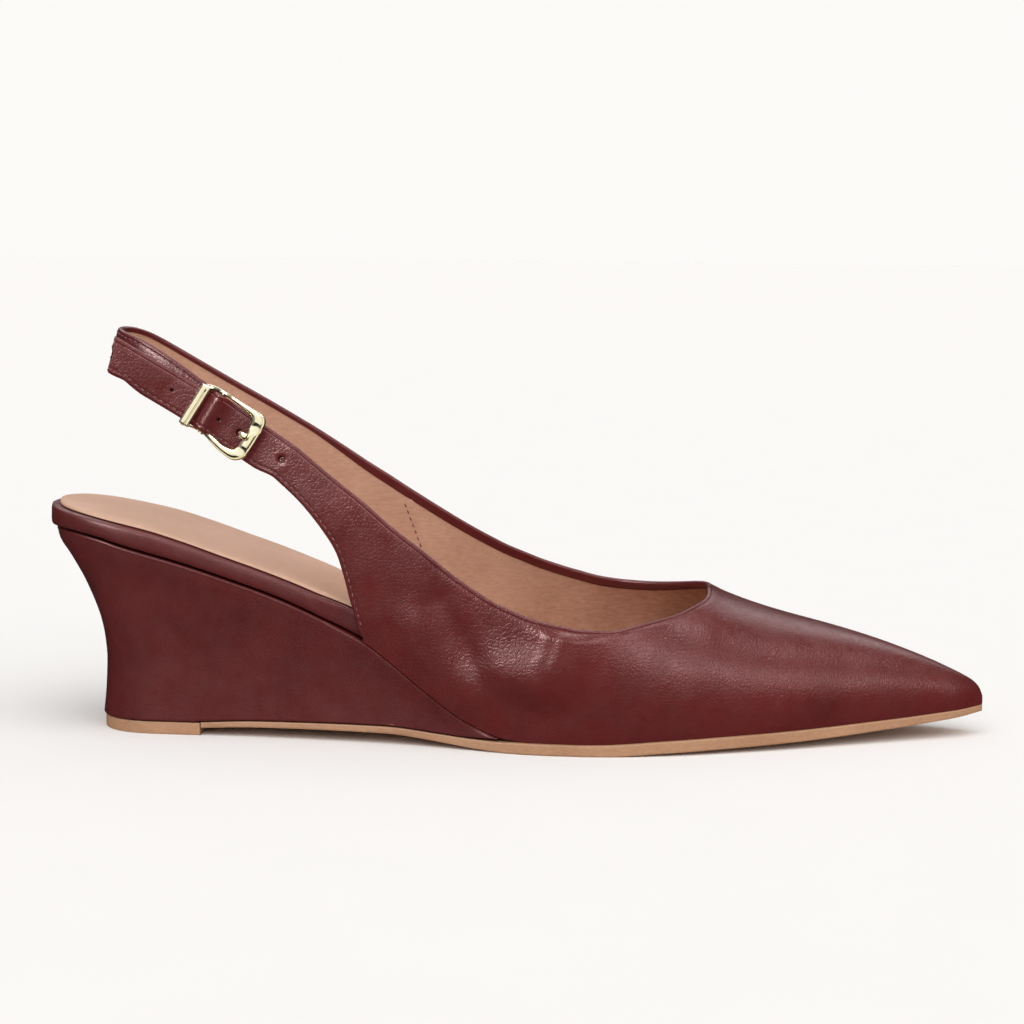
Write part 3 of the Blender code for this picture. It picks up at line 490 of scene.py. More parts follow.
class Curve:
    """A smooth line through table rows that never overshoots them."""

    def __init__(self, xs, ys):
        self.x = np.asarray(xs, float)
        self.y = np.asarray(ys, float)
        h = np.diff(self.x)
        d = np.diff(self.y) / h
        m = np.zeros(len(self.x))
        for i in range(1, len(d)):
            if d[i - 1] * d[i] > 0.0:
                w1 = 2.0 * h[i] + h[i - 1]
                w2 = h[i] + 2.0 * h[i - 1]
                m[i] = (w1 + w2) / (w1 / d[i - 1] + w2 / d[i])
        m[0] = d[0]
        m[-1] = d[-1]
        self.m = m

    def __call__(self, x):
        x = np.clip(np.asarray(x, float), self.x[0], self.x[-1])
        i = np.clip(np.searchsorted(self.x, x) - 1, 0, len(self.x) - 2)
        h = self.x[i + 1] - self.x[i]
        t = (x - self.x[i]) / h
        a = (1.0 + 2.0 * t) * (1.0 - t) ** 2
        b = t * (1.0 - t) ** 2
        c = t * t * (3.0 - 2.0 * t)
        e = t * t * (t - 1.0)
        return a * self.y[i] + b * h * self.m[i] + c * self.y[i + 1] + e * h * self.m[i + 1]


def smooth_path(points, count):
    """Even parameter steps on a rounded path through the points."""
    p = np.asarray(points, float)
    p = np.vstack([2.0 * p[0] - p[1], p, 2.0 * p[-1] - p[-2]])
    last = len(points) - 1
    s = np.linspace(0.0, last, count)
    i = np.minimum(s.astype(int), last - 1)
    t = (s - i)[:, None]
    a, b, c, d = p[i], p[i + 1], p[i + 2], p[i + 3]
    return 0.5 * (2.0 * b + (c - a) * t + (2.0 * a - 5.0 * b + 4.0 * c - d) * t * t
                  + (3.0 * b - a - 3.0 * c + d) * t ** 3)


def column(table, col, unit):
    return Curve([at(r[0]) for r in table], [r[col] * unit for r in table])


outer_side = column(OUTLINE, 1, HALF_BALL)
inner_side = column(OUTLINE, 2, HALF_BALL)
outer_foot = column(FOOTING, 1, HALF_BALL)
inner_foot = column(FOOTING, 2, HALF_BALL)
seam_line = column(SEAM, 1, HEEL)
insole_line = column(INSOLE, 1, HEEL)
ground_line = column(GROUND, 1, HEEL)
sole_thick = column(SOLE_THICK, 1, HEEL)
crown_line = column(CROWN, 1, HEEL)
layer_spread = Curve([r[0] for r in LAYERS], [r[1] for r in LAYERS])


def ease(x, start, end):
    t = np.clip((x - start) / (end - start), 0.0, 1.0)
    return t * t * (3.0 - 2.0 * t)


def closing(t, power):
    t = np.clip(t, 0.0, 1.0)
    return (1.0 - (1.0 - t) ** power) ** (1.0 / power)


def sole_top(x):
    return ground_line(x) + sole_thick(x)


def seam(x):
    return np.where(x < SEAM_JOIN, np.maximum(seam_line(x), sole_top(x)), sole_top(x))


def edges(x, inset=0.0):
    """Outer and inner edge of the last's outline at x."""
    low = -outer_side(x)
    high = inner_side(x)
    mid = (low + high) / 2.0
    half = (high - low) / 2.0
    half = half * closing((x - HEEL_END) / HEEL_ROUND, HEEL_POWER)
    half = half * closing((TOE - x) / TOE_ROUND, TOE_POWER)
    half = half - inset * np.minimum(1.0, half / NARROW)
    return mid - half, mid + half


def skin(x, turn, wall=0.0):
    """Points on the upper's surface; turn is 0 at the outer feather edge, 1 on top, 2 at the inner edge."""
    x = np.asarray(x, float)
    th = np.asarray(turn, float) * math.pi / 2.0
    cs = np.cos(th)
    sn = np.maximum(np.sin(th), 0.0)
    low, high = edges(x)
    mid = (low + high) / 2.0
    half = (high - low) / 2.0
    half = half - wall * np.minimum(1.0, half / (THIN_SHARE * NARROW))
    base = seam(x) + GAP
    crown = crown_line(x) - wall * CROWN_WALL
    side = half * np.sign(cs) * np.abs(cs) ** (2.0 / ROUND)
    side = side * (1.0 - TUCK * (1.0 - sn) ** TUCK_POWER)
    ridge = RIDGE * sn * sn * np.minimum(1.0, half / (RIDGE_SHARE * NARROW))
    y = mid - side + ridge
    z = base + np.maximum(crown - base, GAP) * sn ** (2.0 / ROUND)
    return np.stack(np.broadcast_arrays(x, y, z), axis=-1)


def turn_at(x, z):
    """The turn where the section at x reaches height z."""
    base = float(seam(x)) + GAP
    share = np.clip((z - base) / (float(crown_line(x)) - base), 0.0, 1.0)
    return math.asin(share ** (ROUND / 2.0)) * 2.0 / math.pi


def unit(v):
    v = np.asarray(v, float)
    return v / np.maximum(np.linalg.norm(v, axis=-1, keepdims=True), 1e-12)


# Materials


class Look:
    """A procedural material that is put together node by node."""

    def __init__(self, name):
        self.mat = bpy.data.materials.new(name)
        self.mat.use_nodes = True
        self.tree = self.mat.node_tree
        self.shader = self.tree.nodes["Principled BSDF"]
        self.place = self.add("ShaderNodeTexCoord").outputs["Object"]
        self.normal = None

    def add(self, kind, **settings):
        node = self.tree.nodes.new(kind)
        for key, value in settings.items():
            setattr(node, key, value)
        return node

    def put(self, **values):
        """Constants on the shader's own sockets."""
        for key, value in values.items():
            self.shader.inputs[key.replace("_", " ")].default_value = value

    def join(self, source, target):
        self.tree.links.new(source, target)

    def noise(self, scale, detail, rough, at_place=None, output="Fac"):
        node = self.add("ShaderNodeTexNoise")
        node.inputs["Scale"].default_value = scale
        node.inputs["Detail"].default_value = detail
        node.inputs["Roughness"].default_value = rough
        self.join(at_place or self.place, node.inputs["Vector"])
        return node.outputs[output]

    def warped(self, scale, amount):
        """Object coordinates pushed about by noise, so that cells aren't regular."""
        centred = self.add("ShaderNodeVectorMath", operation="SUBTRACT")
        centred.inputs[1].default_value = (0.5, 0.5, 0.5)
        self.join(self.noise(scale, 2.0, 0.5, output="Color"), centred.inputs[0])
        scaled = self.add("ShaderNodeVectorMath", operation="SCALE")
        scaled.inputs["Scale"].default_value = amount
        self.join(centred.outputs[0], scaled.inputs[0])
        moved = self.add("ShaderNodeVectorMath", operation="ADD")
        self.join(self.place, moved.inputs[0])
        self.join(scaled.outputs[0], moved.inputs[1])
        return moved.outputs[0]

    def cells(self, scale, at_place):
        """Distance to the nearest border between irregular cells."""
        node = self.add("ShaderNodeTexVoronoi", feature="DISTANCE_TO_EDGE")
        node.inputs["Scale"].default_value = scale
        node.inputs["Randomness"].default_value = CELL_SPREAD
        self.join(at_place, node.inputs["Vector"])
        return node.outputs["Distance"]

    def colour(self, source, stops):
        """Base colour from a ramp over the source."""
        node = self.add("ShaderNodeValToRGB")
        ramp = node.color_ramp.elements
        ramp[0].position, ramp[0].color = stops[0][0], (*stops[0][1], 1.0)
        ramp[1].position, ramp[1].color = stops[-1][0], (*stops[-1][1], 1.0)
        for position, colour in stops[1:-1]:
            ramp.new(position).color = (*colour, 1.0)
        self.join(source, node.inputs["Fac"])
        self.join(node.outputs["Color"], self.shader.inputs["Base Color"])

    def rough(self, source, low, high):
        """Roughness from low to high over the middle of the source."""
        self.join(self.span(source, 0.3, 0.7, low, high), self.shader.inputs["Roughness"])

    def span(self, source, low, high, out_low, out_high):
        node = self.add("ShaderNodeMapRange")
        node.inputs["From Min"].default_value = low
        node.inputs["From Max"].default_value = high
        node.inputs["To Min"].default_value = out_low
        node.inputs["To Max"].default_value = out_high
        self.join(source, node.inputs["Value"])
        return node.outputs["Result"]

    def bump(self, height, strength, distance):
        node = self.add("ShaderNodeBump")
        node.inputs["Strength"].default_value = strength
        node.inputs["Distance"].default_value = distance
        self.join(height, node.inputs["Height"])
        if self.normal is not None:
            self.join(self.normal, node.inputs["Normal"])
        self.normal = node.outputs["Normal"]
        self.join(self.normal, self.shader.inputs["Normal"])


def leather_material(name, dark, light, gloss, cell, depth):
    """Fine crinkled leather: cells with creased borders, pores, and clouded colour and gloss."""
    look = Look(name)
    border = look.cells(cell, look.warped(*WARP))
    look.colour(look.noise(*CLOUDS), ((0.32, dark), (0.68, light)))
    look.rough(look.noise(*PATCHES), gloss + GLOSS_SWING[0], gloss + GLOSS_SWING[1])
    look.bump(look.noise(*RIPPLE), *RIPPLE_BUMP)
    look.bump(look.span(border, 0.0, BORDER, 0.0, 1.0), CREASE_BUMP, depth)
    look.bump(look.noise(*PORES), *PORE_BUMP)
    look.put(Specular_IOR_Level=0.5, Specular_Tint=LEATHER_TINT)
    look.put(Coat_Weight=0.04, Coat_Roughness=0.2)
    return look.mat


def tan_material(name, dark, light, gloss, strokes_to_metre, deep=None):
    """Matt lining leather with a fine slanting grain; deep is a painted shade colour that darkens it
    further towards the toe.
    """
    look = Look(name)
    tilt = look.add("ShaderNodeMapping")
    tilt.inputs["Rotation"].default_value = (0.0, 0.6, 0.0)
    tilt.inputs["Scale"].default_value = (1.0, 1.0, 3.2)
    look.join(look.place, tilt.inputs["Vector"])
    strokes = look.noise(strokes_to_metre, 4.0, 0.62, tilt.outputs["Vector"])
    blend = look.add("ShaderNodeMath", operation="MULTIPLY_ADD")
    blend.inputs[1].default_value = 0.5
    look.join(strokes, blend.inputs[0])
    look.join(look.span(look.noise(*TAN_CLOUDS), 0.0, 1.0, 0.0, 0.5), blend.inputs[2])
    stops = [(0.38, dark), (0.62, light)]
    source = blend.outputs[0]
    # Painted shade: the lining's colour darkens towards the toe, inside the vamp where shade falls
    if deep is not None:
        parts = look.add("ShaderNodeSeparateXYZ")
        look.join(look.place, parts.inputs[0])
        forward = look.add("ShaderNodeMath", operation="ADD")
        look.join(look.span(parts.outputs["X"], *TOE_SHADE_SPAN, 0.0, TOE_SHADE_SHIFT), forward.inputs[0])
        look.join(source, forward.inputs[1])
        source = forward.outputs[0]
        stops.insert(0, (0.04, deep))
    look.colour(source, stops)
    look.rough(strokes, gloss + GLOSS_SWING[0], gloss + GLOSS_SWING[1])
    look.bump(strokes, *STROKE_BUMP)
    look.put(Specular_IOR_Level=0.35)
    return look.mat


def gold_material(name):
    """Pale gold plate with faint wear."""
    look = Look(name)
    clouds = look.noise(*WEAR)
    look.colour(clouds, ((0.3, GOLD[0]), (0.7, GOLD[1])))
    look.rough(clouds, 0.16, 0.26)
    look.bump(clouds, *WEAR_BUMP)
    look.put(Metallic=1.0)
    return look.mat


def thread_material(name, dark, light):
    look = Look(name)
    # Colour swings with the twist noise from dark to light; the light colours that callers give are painted
    # highlights
    twist = look.noise(*TWIST)
    look.colour(twist, ((0.35, dark), (0.65, light)))
    look.rough(twist, 0.42, 0.6)
    return look.mat


def floor_material(name):
    look = Look(name)
    look.colour(look.noise(*GRAIN), ((0.3, PALE[0]), (0.7, PALE[1])))
    look.put(Roughness=1.0, Specular_IOR_Level=0.0)
    return look.mat


leather_look = leather_material("burgundy_leather_look", *LEATHER)
wrap_look = leather_material("burgundy_wrap_look", *WRAP)
lining_look = tan_material("tan_lining_look", *LINING)
sock_look = tan_material("sock_look", *SOCK)
sole_look = tan_material("tan_sole_look", *SOLE)
gold_look = gold_material("pale_gold_look")
thread_sheen_look = thread_material("burgundy_thread_sheen_look", *THREAD_TONES_AND_HIGHLIGHT)
highlight_line_look = thread_material("topline_highlight_line_look", *TOPLINE_HIGHLIGHT)
floor_look = floor_material("floor_look")


# Meshes
def piece(name, shell, mat, change=None, sharp=None):
    """A welded mesh object with outward faces, riding on the part's body."""
    mesh = bpy.data.meshes.new(name)
    mesh.from_pydata(np.concatenate(shell.points).tolist(), [], shell.faces)
    bm = bmesh.new()
    bm.from_mesh(mesh)
    bmesh.ops.remove_doubles(bm, verts=bm.verts, dist=WELD)
    bmesh.ops.recalc_face_normals(bm, faces=bm.faces)
    if change is not None:
        change(bm)
        bmesh.ops.recalc_face_normals(bm, faces=bm.faces)
    bm.to_mesh(mesh)
    bm.free()
    made = bpy.data.objects.new(name, mesh)
    bpy.context.scene.collection.objects.link(made)
    mesh.materials.append(mat)
    mesh.shade_smooth()
    if sharp is not None:
        mesh.set_sharp_from_angle(angle=math.radians(sharp))
    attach(made, "root")
    return made


def grid_faces(numbers):
    a = numbers[:-1, :-1].ravel()
    b = numbers[1:, :-1].ravel()
    c = numbers[1:, 1:].ravel()
    d = numbers[:-1, 1:].ravel()
    return np.stack([a, b, c, d], axis=1).tolist()


class Shell:
    """Collects grids of points and their faces."""

    def __init__(self):
        self.points = []
        self.faces = []
        self.count = 0

    def grid(self, points, wrap=False):
        points = np.asarray(points, float)
        rows, columns = points.shape[:2]
        numbers = np.arange(self.count, self.count + rows * columns).reshape(rows, columns)
        self.points.append(points.reshape(-1, 3))
        self.count += numbers.size
        if wrap:
            numbers = np.concatenate([numbers, numbers[:, :1]], axis=1)
        self.faces += grid_faces(numbers)

    def tube(self, rings, closed=(0, -1)):
        """Rings of points joined into a tube, with the named ends closed."""
        self.grid(rings, wrap=True)
        for end in closed:
            self.fan(rings[end])

    def fan(self, ring):
        """Close a ring of points with triangles to its middle."""
        ring = np.asarray(ring, float)
        first = self.count
        self.points.append(np.vstack([ring, ring.mean(axis=0)]))
        n = len(ring)
        self.count += n + 1
        self.faces += [[first + k, first + (k + 1) % n, first + n] for k in range(n)]


def runs_of(line):
    """Distance along a line at each of its points."""
    return np.concatenate([[0.0], np.cumsum(np.linalg.norm(np.diff(line, axis=0), axis=1))])


def picked(line, run, wanted):
    """Points on a line at the wanted distances along it."""
    return np.stack([np.interp(wanted, run, line[:, k]) for k in range(3)], axis=1)


def resample(ribs):
    """Each rib's points at fixed distances from its ends and even steps between."""
    out = []
    for rib in ribs:
        run = runs_of(rib)
        total = run[-1]
        ends = EDGE_STEPS * min(1.0, END_SHARE * total / EDGE_STEPS[-1])
        between = np.linspace(ends[-1], total - ends[-1], MIDDLE + 2)[1:-1]
        out.append(picked(rib, run, np.concatenate([ends, between, (total - ends)[::-1]])))
    return np.array(out)


def normals(grid):
    du = np.gradient(grid, axis=0)
    dv = np.gradient(grid, axis=1)
    return unit(np.cross(du, dv))


# Directions at the buckle: along the strap towards the toe, up across the strap, outward
along = unit([math.cos(STRAP_FALL), -0.075, -math.sin(STRAP_FALL)])
across = np.array([math.sin(STRAP_FALL), LEAN, math.cos(STRAP_FALL)])
across = unit(across - along * across.dot(along))
outward = np.cross(along, across)
hinge = np.array(HINGE)


def place(a, b, c):
    return hinge + along * a + across * b + outward * c


def free_height(a):
    """How far the free strap's middle stands out from the hinge bar at a along the strap."""
    return FREE_LEVEL + FREE_BUMP * math.exp(-(a / FREE_RISE) ** 2)


def rib_rows(table, throat):
    rows = []
    for xt, zt, xl, zl in table:
        x1, x0 = at(xt), at(xl)
        t1 = turn_at(x1, zt * HEEL)
        t0 = turn_at(x0, zl * HEEL) if zl > 0.0 else 0.0
        rows.append((x1, t1, x0, t0))
    for xt, turn, xl in throat:
        rows.append((at(xt), turn, at(xl), 0.0))
    rows.append((THROAT, 1.0, THROAT, 0.0))
    return np.array(rows)


free_top = column(FREE_STRAP, 1, HEEL)
free_side = column(FREE_STRAP, 2, HALF_BALL)
free_slope = float(free_side(STRAP_END) - free_side(STRAP_SLOPE_START)) / (STRAP_END - STRAP_SLOPE_START)
heel_rows = np.array([(at(a), c * HALF_BALL, b * HEEL + rise)
                      for (a, b, c), rise in zip(HEEL_STRAP, HEEL_RISE)])
fall = np.array([math.sin(STRAP_FALL), 0.0, math.cos(STRAP_FALL)])


def strap_widening(x):
    """How much higher the free strap's top edge lies from the keeper on, fading into the quarter."""
    return STRAP_MORE * float(ease(x, *MORE_START) * (1.0 - ease(x, *MORE_END)))


def hang(x):
    """Upward direction across the heel strap, steeper round the back of the heel."""
    angle = STRAP_FALL + (BACK_FALL - STRAP_FALL) * float(ease(x, *BACK_TURN))
    return np.array([math.sin(angle), 0.0, math.cos(angle)])


def trimmed(rows, side, cut):
    """Ribs' ends moved into the surface by cut, square to the edge line."""
    def surface(x, t):
        return skin(x, t if side < 0 else 2.0 - t)

    out = rows.copy()
    for x_col, t_col, toward in ((0, 1, -1.0), (2, 3, 1.0)):
        x, t = rows[:, x_col], rows[:, t_col]
        line = np.gradient(surface(x, t), axis=0)
        small = 1e-4
        sx = (surface(x + small, t) - surface(x - small, t)) / (2.0 * small)
        upper_t = np.minimum(t + small, 1.0)
        lower_t = np.maximum(t - small, 0.0)
        st = (surface(x, upper_t) - surface(x, lower_t)) / np.maximum(upper_t - lower_t, 1e-9)[:, None]
        for i in np.nonzero((t > TINY) | (t_col == 1))[0]:
            if t[i] > 1.0 - TINY:
                out[i, x_col] = x[i] + cut
                continue
            into = unit(np.cross(np.cross(sx[i], st[i]), line[i]))
            if into.dot(st[i]) * toward < 0.0:
                into = -into
            if t_col == 1 and abs(into.dot(unit(st[i]))) < 0.25 and into[0] < 0.0:
                into = -into
            dx, dt = np.linalg.lstsq(np.stack([sx[i], st[i]], axis=1), into * cut, rcond=None)[0]
            out[i, x_col] = x[i] + dx
            out[i, t_col] = min(t[i] + dt, 1.0)
            if t_col == 1 and rows[i, 3] < TINY:
                out[i, 2] = rows[i, 2] + max(dx, 0.0)
    out[-1, 2] = out[-1, 0]
    return out


def rib_of(row, side):
    x1, t1, x0, t0 = row
    v = np.linspace(0.0, 1.0, DENSE)
    turn = t0 + (t1 - t0) * v
    return skin(x0 + (x1 - x0) * v, turn if side < 0 else 2.0 - turn)


def strap_rib(top_point, side_dir, up, cut):
    """A straight rib of strap hanging from its top edge, shortened at both ends."""
    down = np.linspace(STRAP - cut, cut, DENSE)[:, None]
    return top_point - up * down + side_dir * (LEAN * down)


def bridge(before, after):
    """Ribs that carry one run of ribs smoothly over into the next."""
    gap = np.linalg.norm(after[0] - before[-1], axis=1).mean()
    leave = before[-1] - before[-1 - BRIDGE_LOOK]
    reach = after[BRIDGE_LOOK] - after[0]
    leave = leave * gap / np.linalg.norm(leave, axis=1).mean()
    reach = reach * gap / np.linalg.norm(reach, axis=1).mean()
    made = []
    for t in np.linspace(0.0, 1.0, BRIDGE_COUNT + 2)[1:-1]:
        blend = t * t * (3.0 - 2.0 * t)
        made.append(before[-1] * (1.0 - blend) + after[0] * blend
                    + leave * (t * (1.0 - t) ** 2) - reach * (t * t * (1.0 - t)))
    return made


def widened(rib):
    """A rib of the free strap or the outer quarter with its top edge raised."""
    return rib + fall * (strap_widening(rib[-1, 0]) * np.linspace(0.0, 1.0, DENSE))[:, None]


def outer_wing(cut):
    """Ribs from the strap's tail to the throat on the outer side, low edge first."""
    ribs = []
    tail = np.linspace(TAIL_END, TAIL_START, TAIL_COUNT)
    for x in np.concatenate([tail, np.linspace(TAIL_NEXT, STRAP_END, STRAP_COUNT)]):
        top_point = np.array([x, -float(free_side(x)), float(free_top(x))])
        centre = top_point - fall * STRAP / 2.0
        a = (centre - hinge).dot(along)
        mid = place(a, 0.0, free_height(a) + WALL / 2.0)
        rib = strap_rib(top_point, np.array([0.0, -1.0, 0.0]), fall, cut)
        centre = centre + np.array([0.0, -LEAN * STRAP / 2.0, 0.0])
        near = math.exp(-((a - BUCKLE_ZONE[0] * FRAME_FRONT) / (BUCKLE_ZONE[1] * FRAME_FRONT)) ** 6)
        shift = outward * (mid - centre).dot(outward)
        bump = outward * (free_height(a) - FREE_LEVEL)
        rib = rib + shift * near + bump * (1.0 - near)
        slant = TAIL_SLANT * float(ease(x, TAIL_START, TAIL_END))
        rib[:, 0] += slant * np.linspace(1.0, 0.0, DENSE)
        ribs.append(widened(rib))
    wall = []
    rows = smooth_path(rib_rows(OUTER_RIBS, OUTER_THROAT), OUTER_COUNT)
    for row, (x1, t1, x0, t0) in zip(trimmed(rows, -1, cut), rows):
        rib = rib_of(row, -1)
        keep = 1.0 - float(ease(x1, *OUTER_FLAT))
        if keep > 0.0:
            y_top = -(float(free_side(min(x1, STRAP_END))) + max(x1 - STRAP_END, 0.0) * free_slope)
            rib = flattened(rib, keep, y_top, skin(x1, t1)[2], -LEAN)
        wall.append(widened(rib))
    return ribs + bridge(ribs, wall) + wall


def flattened(rib, keep, y_top, z_top, lean):
    """A quarter's rib drawn by the share keep towards the strap's straight leaning face."""
    flat = rib.copy()
    flat[:, 1] = y_top + lean * (z_top - rib[:, 2])
    return rib * (1.0 - keep) + flat * keep


def inner_wing(cut):
    """Ribs from the buckle round the heel and along the inner side to the throat."""
    ribs = []
    path = smooth_path([tuple(r) for r in heel_rows[::-1]], LOOP_COUNT)
    for i, p in enumerate(path):
        before = path[max(i - 1, 0)]
        after = path[min(i + 1, len(path) - 1)]
        up = hang(p[0])
        ribs.append(strap_rib(p, unit(np.cross(up, unit(after - before))), up, cut))
    wall = []
    rows = smooth_path(rib_rows(INNER_RIBS, INNER_THROAT), INNER_COUNT)
    for row, (x1, t1, x0, t0) in zip(trimmed(rows, 1, cut), rows):
        rib = rib_of(row, 1)
        keep = 1.0 - float(ease(x1, *INNER_FLAT))
        if keep > 0.0:
            y_top = heel_rows[0][1] + (x1 - heel_rows[0][0]) * INNER_SLOPE
            rib = flattened(rib, keep, y_top, skin(x1, 2.0 - t1)[2], LEAN)
        rib[:, 2] += HEEL_RISE[0] * (1.0 - float(ease(x1, *FAR_RISE_END)))
        wall.append(rib)
    return ribs + bridge(ribs, wall) + wall


def arch_stations(start, end, count):
    t = np.linspace(0.0, 1.0, count)
    return start + (end - start) * (1.0 - (1.0 - t) ** ARCH_POWER)


def half_arches(xs, side, wall=0.0):
    """Ribs from the feather edge to the crown at each station."""
    turns = np.linspace(0.0, 1.0, DENSE)
    if side > 0:
        turns = 2.0 - turns
    return resample([skin(np.full(DENSE, x), turns, wall) for x in xs])


def fold_field(points, table):
    """Height of the soft folds at the points, from their x and z."""
    total = np.zeros(points.shape[:-1])
    p = points[..., [0, 2]]
    for path, width, height in table:
        corners = [np.array([at(x), z * HEEL]) for x, z in path]
        nearest = np.full(points.shape[:-1], np.inf)
        for a, b in zip(corners[:-1], corners[1:]):
            d = b - a
            t = np.clip(((p - a) @ d) / d.dot(d), 0.0, 1.0)
            nearest = np.minimum(nearest, np.linalg.norm(p - (a + t[..., None] * d), axis=-1))
        total += height * np.exp(-(nearest / width) ** 2)
    return total


def tree_of(points):
    tree = KDTree(len(points))
    for i, p in enumerate(points):
        tree.insert(p, i)
    tree.balance()
    return tree


# Outer surface of the upper in three sheets
wing_out = resample(outer_wing(ROLL))
wing_in = resample(inner_wing(ROLL))
stations = arch_stations(THROAT + ROLL, TOE - 0.5 * GAP, ARCH_COUNT)
arch_out = half_arches(stations, -1)
arch_in = half_arches(stations, 1)
wing_out[-1] = arch_out[0]
wing_in[-1] = arch_in[0]
normal_out = normals(np.concatenate([wing_out, arch_out[1:HOLD]]))[:len(wing_out)]
normal_in = -normals(np.concatenate([wing_in, arch_in[1:HOLD]]))[:len(wing_in)]
crown_joined = np.concatenate([arch_out, arch_in[:, ::-1][:, 1:]], axis=1)
lead = np.concatenate([wing_out[-HOLD:-1], wing_in[-HOLD:-1][:, ::-1][:, 1:]], axis=1)
normal_arch = normals(np.concatenate([lead, crown_joined]))[HOLD - 1:]
throat_normal = unit(normal_arch[0])
normal_out[-1] = throat_normal[:wing_out.shape[1]]
normal_in[-1] = throat_normal[wing_out.shape[1] - 1:][::-1]


def edge_frame(grid, normal, at_top):
    """Edge line, its normal and the way into the surface along a wing's edge."""
    line, near = (grid[:, -1], grid[:, -4]) if at_top else (grid[:, 0], grid[:, 3])
    n = normal[:, -1 if at_top else 0]
    into = unit(np.cross(n, unit(np.gradient(line, axis=0))))
    into[np.sum(into * (near - line), axis=1) < 0.0] *= -1.0
    return line, n, into


line_out, edge_n_out, into_out = edge_frame(wing_out, normal_out, True)
line_in, edge_n_in, into_in = edge_frame(wing_in, normal_in, True)
for into in (into_out, into_in):
    into[-1] = unit(THROAT_INTO)
    for k in range(2, THROAT_TURN):
        share = (THROAT_TURN - k) / (THROAT_TURN - 1.0)
        into[-k] = unit(into[-k] * (1.0 - share * 0.5) + into[-1] * share * 0.5)
low_out, low_n_out, low_into_out = edge_frame(wing_out, normal_out, False)
low_in, low_n_in, low_into_in = edge_frame(wing_in, normal_in, False)
top_tree = tree_of(np.concatenate([line_out, line_in]))
feather_out = low_out[:, 2] < seam(low_out[:, 0]) + GAP * 4.0
feather_in = low_in[:, 2] < seam(low_in[:, 0]) + GAP * 4.0
free_low_tree = tree_of(np.concatenate([low_out[~feather_out], low_in[~feather_in]]))


def relief(grid, table):
    """Folds and the shallow groove that the stitches pull into the leather."""
    flat = grid.reshape(-1, 3)
    to_top, to_low = (np.array([tree.find(p)[2] for p in flat]).reshape(grid.shape[:2]) + ROLL
                      for tree in (top_tree, free_low_tree))
    fade = ease(np.minimum(to_top, to_low), *FADE) * (1.0 - FADE_LEAST) + FADE_LEAST
    out = fold_field(grid, table) * fade
    for gone in (to_top, to_low):
        out -= GROOVE_DEPTH * np.exp(-((gone - STITCH_INSET) / GROOVE_WIDTH) ** 2)
    return out


hole_centres = [place(share * FRAME_FRONT, 0.0, free_height(share * FRAME_FRONT) + WALL)
                for share, r in PUNCHED]


def dimples(grid):
    """The ridge where the strap bends over the hinge, and the leather drawn in at the holes."""
    start = place(*RIDGE_ENDS[0], free_height(RIDGE_ENDS[0][0]) + WALL)
    line = place(*RIDGE_ENDS[1], free_height(RIDGE_ENDS[1][0]) + WALL) - start
    share = np.clip(((grid - start) @ line) / line.dot(line), 0.0, 1.0)
    gone = np.linalg.norm(grid - start - share[..., None] * line, axis=-1)
    out = RIDGE_RISE * np.exp(-(gone / RIDGE_WIDTH) ** 2) * (1.0 - 0.6 * share)
    for centre, (share, r), closed in zip(hole_centres, PUNCHED, HOLE_CLOSED):
        gone = np.linalg.norm(grid - centre, axis=-1)
        out -= RIM_DEPTH * closed * np.exp(-(gone / (HOLE * r * closed * RIM_REACH)) ** 4)
    return out


wing_out_face = wing_out + normal_out * (relief(wing_out, FOLDS_OUTER) + dimples(wing_out))[..., None]
wing_in_face = wing_in + normal_in * relief(wing_in, FOLDS_INNER)[..., None]
arch_relief = relief(crown_joined, FOLDS_OUTER)
crown_face = crown_joined + normal_arch * arch_relief[..., None]
wing_out_face[-1] = crown_face[0][:wing_out.shape[1]]
wing_in_face[-1] = crown_face[0][wing_out.shape[1] - 1:][::-1]


def rolled(line, n, into, radius):
    """Half-round edge from the outer face to the inner face, bulging away from the surface."""
    centre = line - n * radius[:, None]
    out = [centre + n * (radius * math.cos(a))[:, None] - into * (radius * math.sin(a))[:, None]
           for a in ROLL_STEPS]
    return np.stack(out, axis=1)


HIDDEN_PICK = np.unique(np.linspace(0, wing_out.shape[1] - 1, 14).round().astype(int))


# Upper's leather: closed loops across the wall, one for each rib
def wing_loops(face, base, normal, top, low, band_width):
    """Outer face, rolled edge, turned band, hidden back and lower roll of each rib."""
    line, n, into = top
    low_n, low_into, feather = low
    count = len(face)
    roll = rolled(face[:, -1], n, into, np.full(count, ROLL))
    inner = line - n * (2.0 * ROLL)
    deep = into * band_width[:, None]
    band = [inner + deep * s for s in BAND_STEPS]
    band.append(inner + deep * BAND_OVER + n * (0.3 * ROLL))
    band.append(inner + deep + n * (2.0 * ROLL - 0.97 * HIDDEN))
    reach = np.linalg.norm(base - base[:, -1:], axis=-1)[:, ::-1]
    weight = np.ones(count)
    weight[-BAND_RIBS:] = np.linspace(0.9, 0.0, BAND_RIBS)
    hidden = []
    for i in range(count):
        wanted = np.maximum(reach[i], band_width[i] * BAND_BEHIND * weight[i])[HIDDEN_PICK]
        hidden.append(picked((base[i] - normal[i] * HIDDEN)[::-1], reach[i], wanted))
    low_radius = np.where(feather, THIN_ROLL, ROLL)
    window = np.ones(SMOOTH_RIBS) / SMOOTH_RIBS
    low_radius = np.convolve(np.pad(low_radius, SMOOTH_RIBS // 2, mode="edge"), window, mode="valid")
    low_roll = rolled(face[:, 0], low_n, low_into, low_radius)[:, ::-1]
    low_band = (face[:, 0] - low_n * (2.0 * low_radius)[:, None] + low_into * (0.6 * ROLL))[:, None]
    parts = [face, roll[:, 1:], np.stack(band, axis=1), np.array(hidden), low_band, low_roll[:, :-1]]
    return np.concatenate(parts, axis=1)


